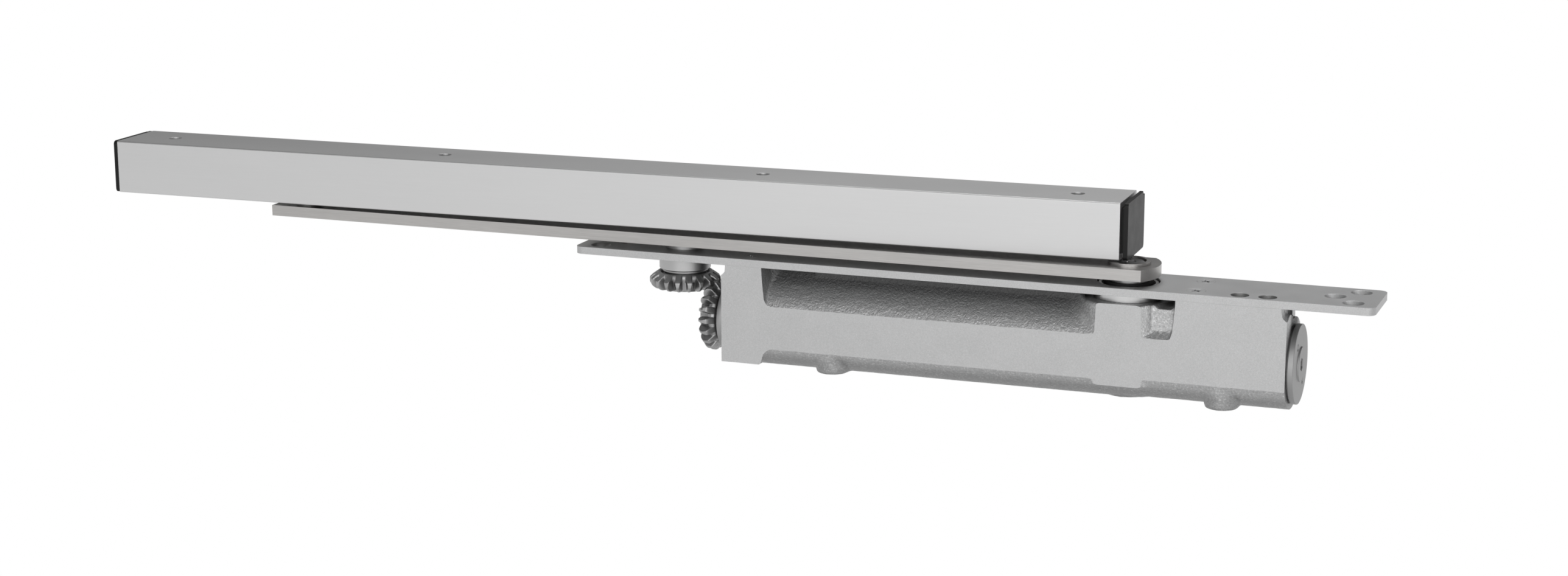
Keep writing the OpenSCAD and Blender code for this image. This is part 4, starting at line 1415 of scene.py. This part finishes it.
    def settle(self, mesh: Mesh) -> None:
        """Puts points within 0.03 mm of a machined side exactly on it, and lifts any below the lowest.

        Args:
            mesh: the machined body's mesh.
        """
        grid = read(mesh.vertices, "co", np.float32, 3).reshape(-1, 3)
        side = self.flat_y * MM
        close = np.abs(np.abs(grid[:, 1]) - side) < 0.03 * MM
        grid[close, 1] = np.sign(grid[close, 1]) * side
        grid[:, 2] = np.maximum(grid[:, 2], self.lowest * MM)
        mesh.vertices.foreach_set("co", grid.ravel())
        mesh.update()

    def edge_machined(self, mesh: Mesh) -> None:
        """Draws the rims of the machined faces sharp, so that the flats shade flat.

        A face is machined where its middle lies on one of the flats or ends; an edge is sharp where
        only one of its faces is.

        Args:
            mesh: the machined body's mesh.
        """
        x, y, z = read(mesh.polygons, "center", np.float32, 3).reshape(-1, 3).T / MM
        near = 0.004
        faces = (np.abs(y) - self.flat_y, z, z - self.tower_top, x - self.left, x - self.right)
        level = np.any(np.abs(np.stack(faces)) < near, axis=0)
        edges = read(mesh.loops, "edge_index", np.int32)
        flag = np.repeat(level, read(mesh.polygons, "loop_total", np.int32)).astype(np.int32)
        most, least = np.zeros(len(mesh.edges), np.int32), np.ones(len(mesh.edges), np.int32)
        np.maximum.at(most, edges, flag)
        np.minimum.at(least, edges, flag)
        sharp = read(mesh.edges, "use_edge_sharp", bool)
        mesh.edges.foreach_set("use_edge_sharp", sharp | (most != least))

    def build(self, paint: Material) -> Object:
        """Makes the finished body.

        Args:
            paint: its finish.
        Returns:
            The piece that stands for the CAD body.
        """
        grid = self.skin()
        rows, columns = grid.shape[:2]
        ends = np.array([(grid[0, 0, 0], 0, BORE_Z), (grid[-1, 0, 0], 0, BORE_Z)])
        grid[0, :, 0], grid[-1, :, 0] = ends[0, 0], ends[1, 0]
        points = np.concatenate([grid.reshape(-1, 3), ends])
        body = new_piece("cast_body", points, closed_grid(rows, columns))
        self.machine(body)
        self.settle(body.data)
        soften(body.data, 38.0)
        self.edge_machined(body.data)
        clothe(body, paint)
        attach(body, "closer")
        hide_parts("closer_body")
        return body


def dress(frame: dict[str, object]) -> None:
    """Gives every CAD node its finish and refines the ones in EASED.

    Args:
        frame: the loaded frame.
    """
    spindle = (SPINDLE_X, 0, 0)
    bore = (0, 0, BORE_Z)
    finishes = {
        SprayedMetal("plate_paint"): ["mounting_plate", "plate_screws"],
        TurnedSteel("turned_spindle_parts", spindle): [
            "bearing_collar", "bottom_cover", "camshaft", "arm_screw"],
        TurnedSteel("turned_end_parts", bore, Axis.X, 0.4, 0.3, 0.52): [
            "end_plug", "end_gland", "adjusting_screw"],
        TurnedSteel("turned_gear_parts", (GEAR_X, 0, 0), Axis.Z, 0.5, 0.4, 0.44): [
            "gear_bush", "gear_washer"],
        TurnedSteel("turned_pin", (PIN_X, 0, 0)): ["slide_pin"],
        GritMetal("machined_gear_steel", 0.44, 0.26, roughness=0.4): [
            "horizontal_gear", "vertical_gear"],
        GritMetal("ground_steel", 0.6, 0.5, roughness=0.22, grain=0.2, depth=0.01): [
            "upper_bearing_cup", "upper_bearing_needles", "lower_bearing_cup",
            "lower_bearing_needles", "thrust_bearing", "check_valve_ball", "spring_roller",
            "spring_roller_pin", "damping_roller", "damping_roller_pin"],
        GritMetal("oiled_spring_steel", 0.2, 0.1, roughness=0.34, grain=0.4): [
            "closing_spring", "return_spring", "horizontal_gear_clip", "vertical_gear_clip"],
        TurnedSteel("ground_pistons", bore, Axis.X, 0.6, 0.5, 0.25): [
            "spring_piston", "damping_piston", "spring_nut"],
        GritMetal("turned_brass", tint=(0.78, 0.58, 0.27), roughness=0.28, grain=0.25, depth=0.015): [
            "closing_speed_valve", "latch_speed_valve"],
        Moulded("black_rubber", 0.025, 0.012, 0.6): [
            "end_plug_seal", "spindle_seal", "damping_piston_seal", "screw_seal", "valve_seals"],
        BrushedSteel("brushed_arm"): ["arm"],
        AnodisedAluminium("anodised_track"): ["track_channel"],
        Moulded("grained_cap_plastic", 0.014, 0.008, 0.45): [
            "track_end_cap_left", "track_end_cap_right"],
        Moulded("grained_block_plastic", 0.06, 0.04, 0.5): ["slide_block"],
    }
    for finish, names in finishes.items():
        material = finish.build()
        for name in names:
            mesh = frame["nodes"][name].data
            slot = mesh.materials[0].name.split(".")[0]
            mesh.materials.clear()
            mesh.materials.append(material)
            LOG.info("%s finished in %s", name, finish.name)
            if name in EASED:
                EASED[name].build(frame, name, material, slot)


def main() -> None:
    """Loads the frame, builds the studio and every piece."""
    logging.basicConfig(level=logging.INFO, format="%(name)s: %(message)s")
    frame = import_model()
    Studio().build()
    dress(frame)
    gear_steel = bpy.data.materials["machined_gear_steel"]
    BevelRim("vertical_gear", Axis.Z, 0.0).build(frame, gear_steel)
    BevelRim("horizontal_gear", Axis.X, 10.0).build(frame, gear_steel)
    gland(bpy.data.materials["turned_end_parts"])
    Casting().build(SprayedMetal("casting_paint", cast=1.0).build())


if __name__ == "__main__":
    main()
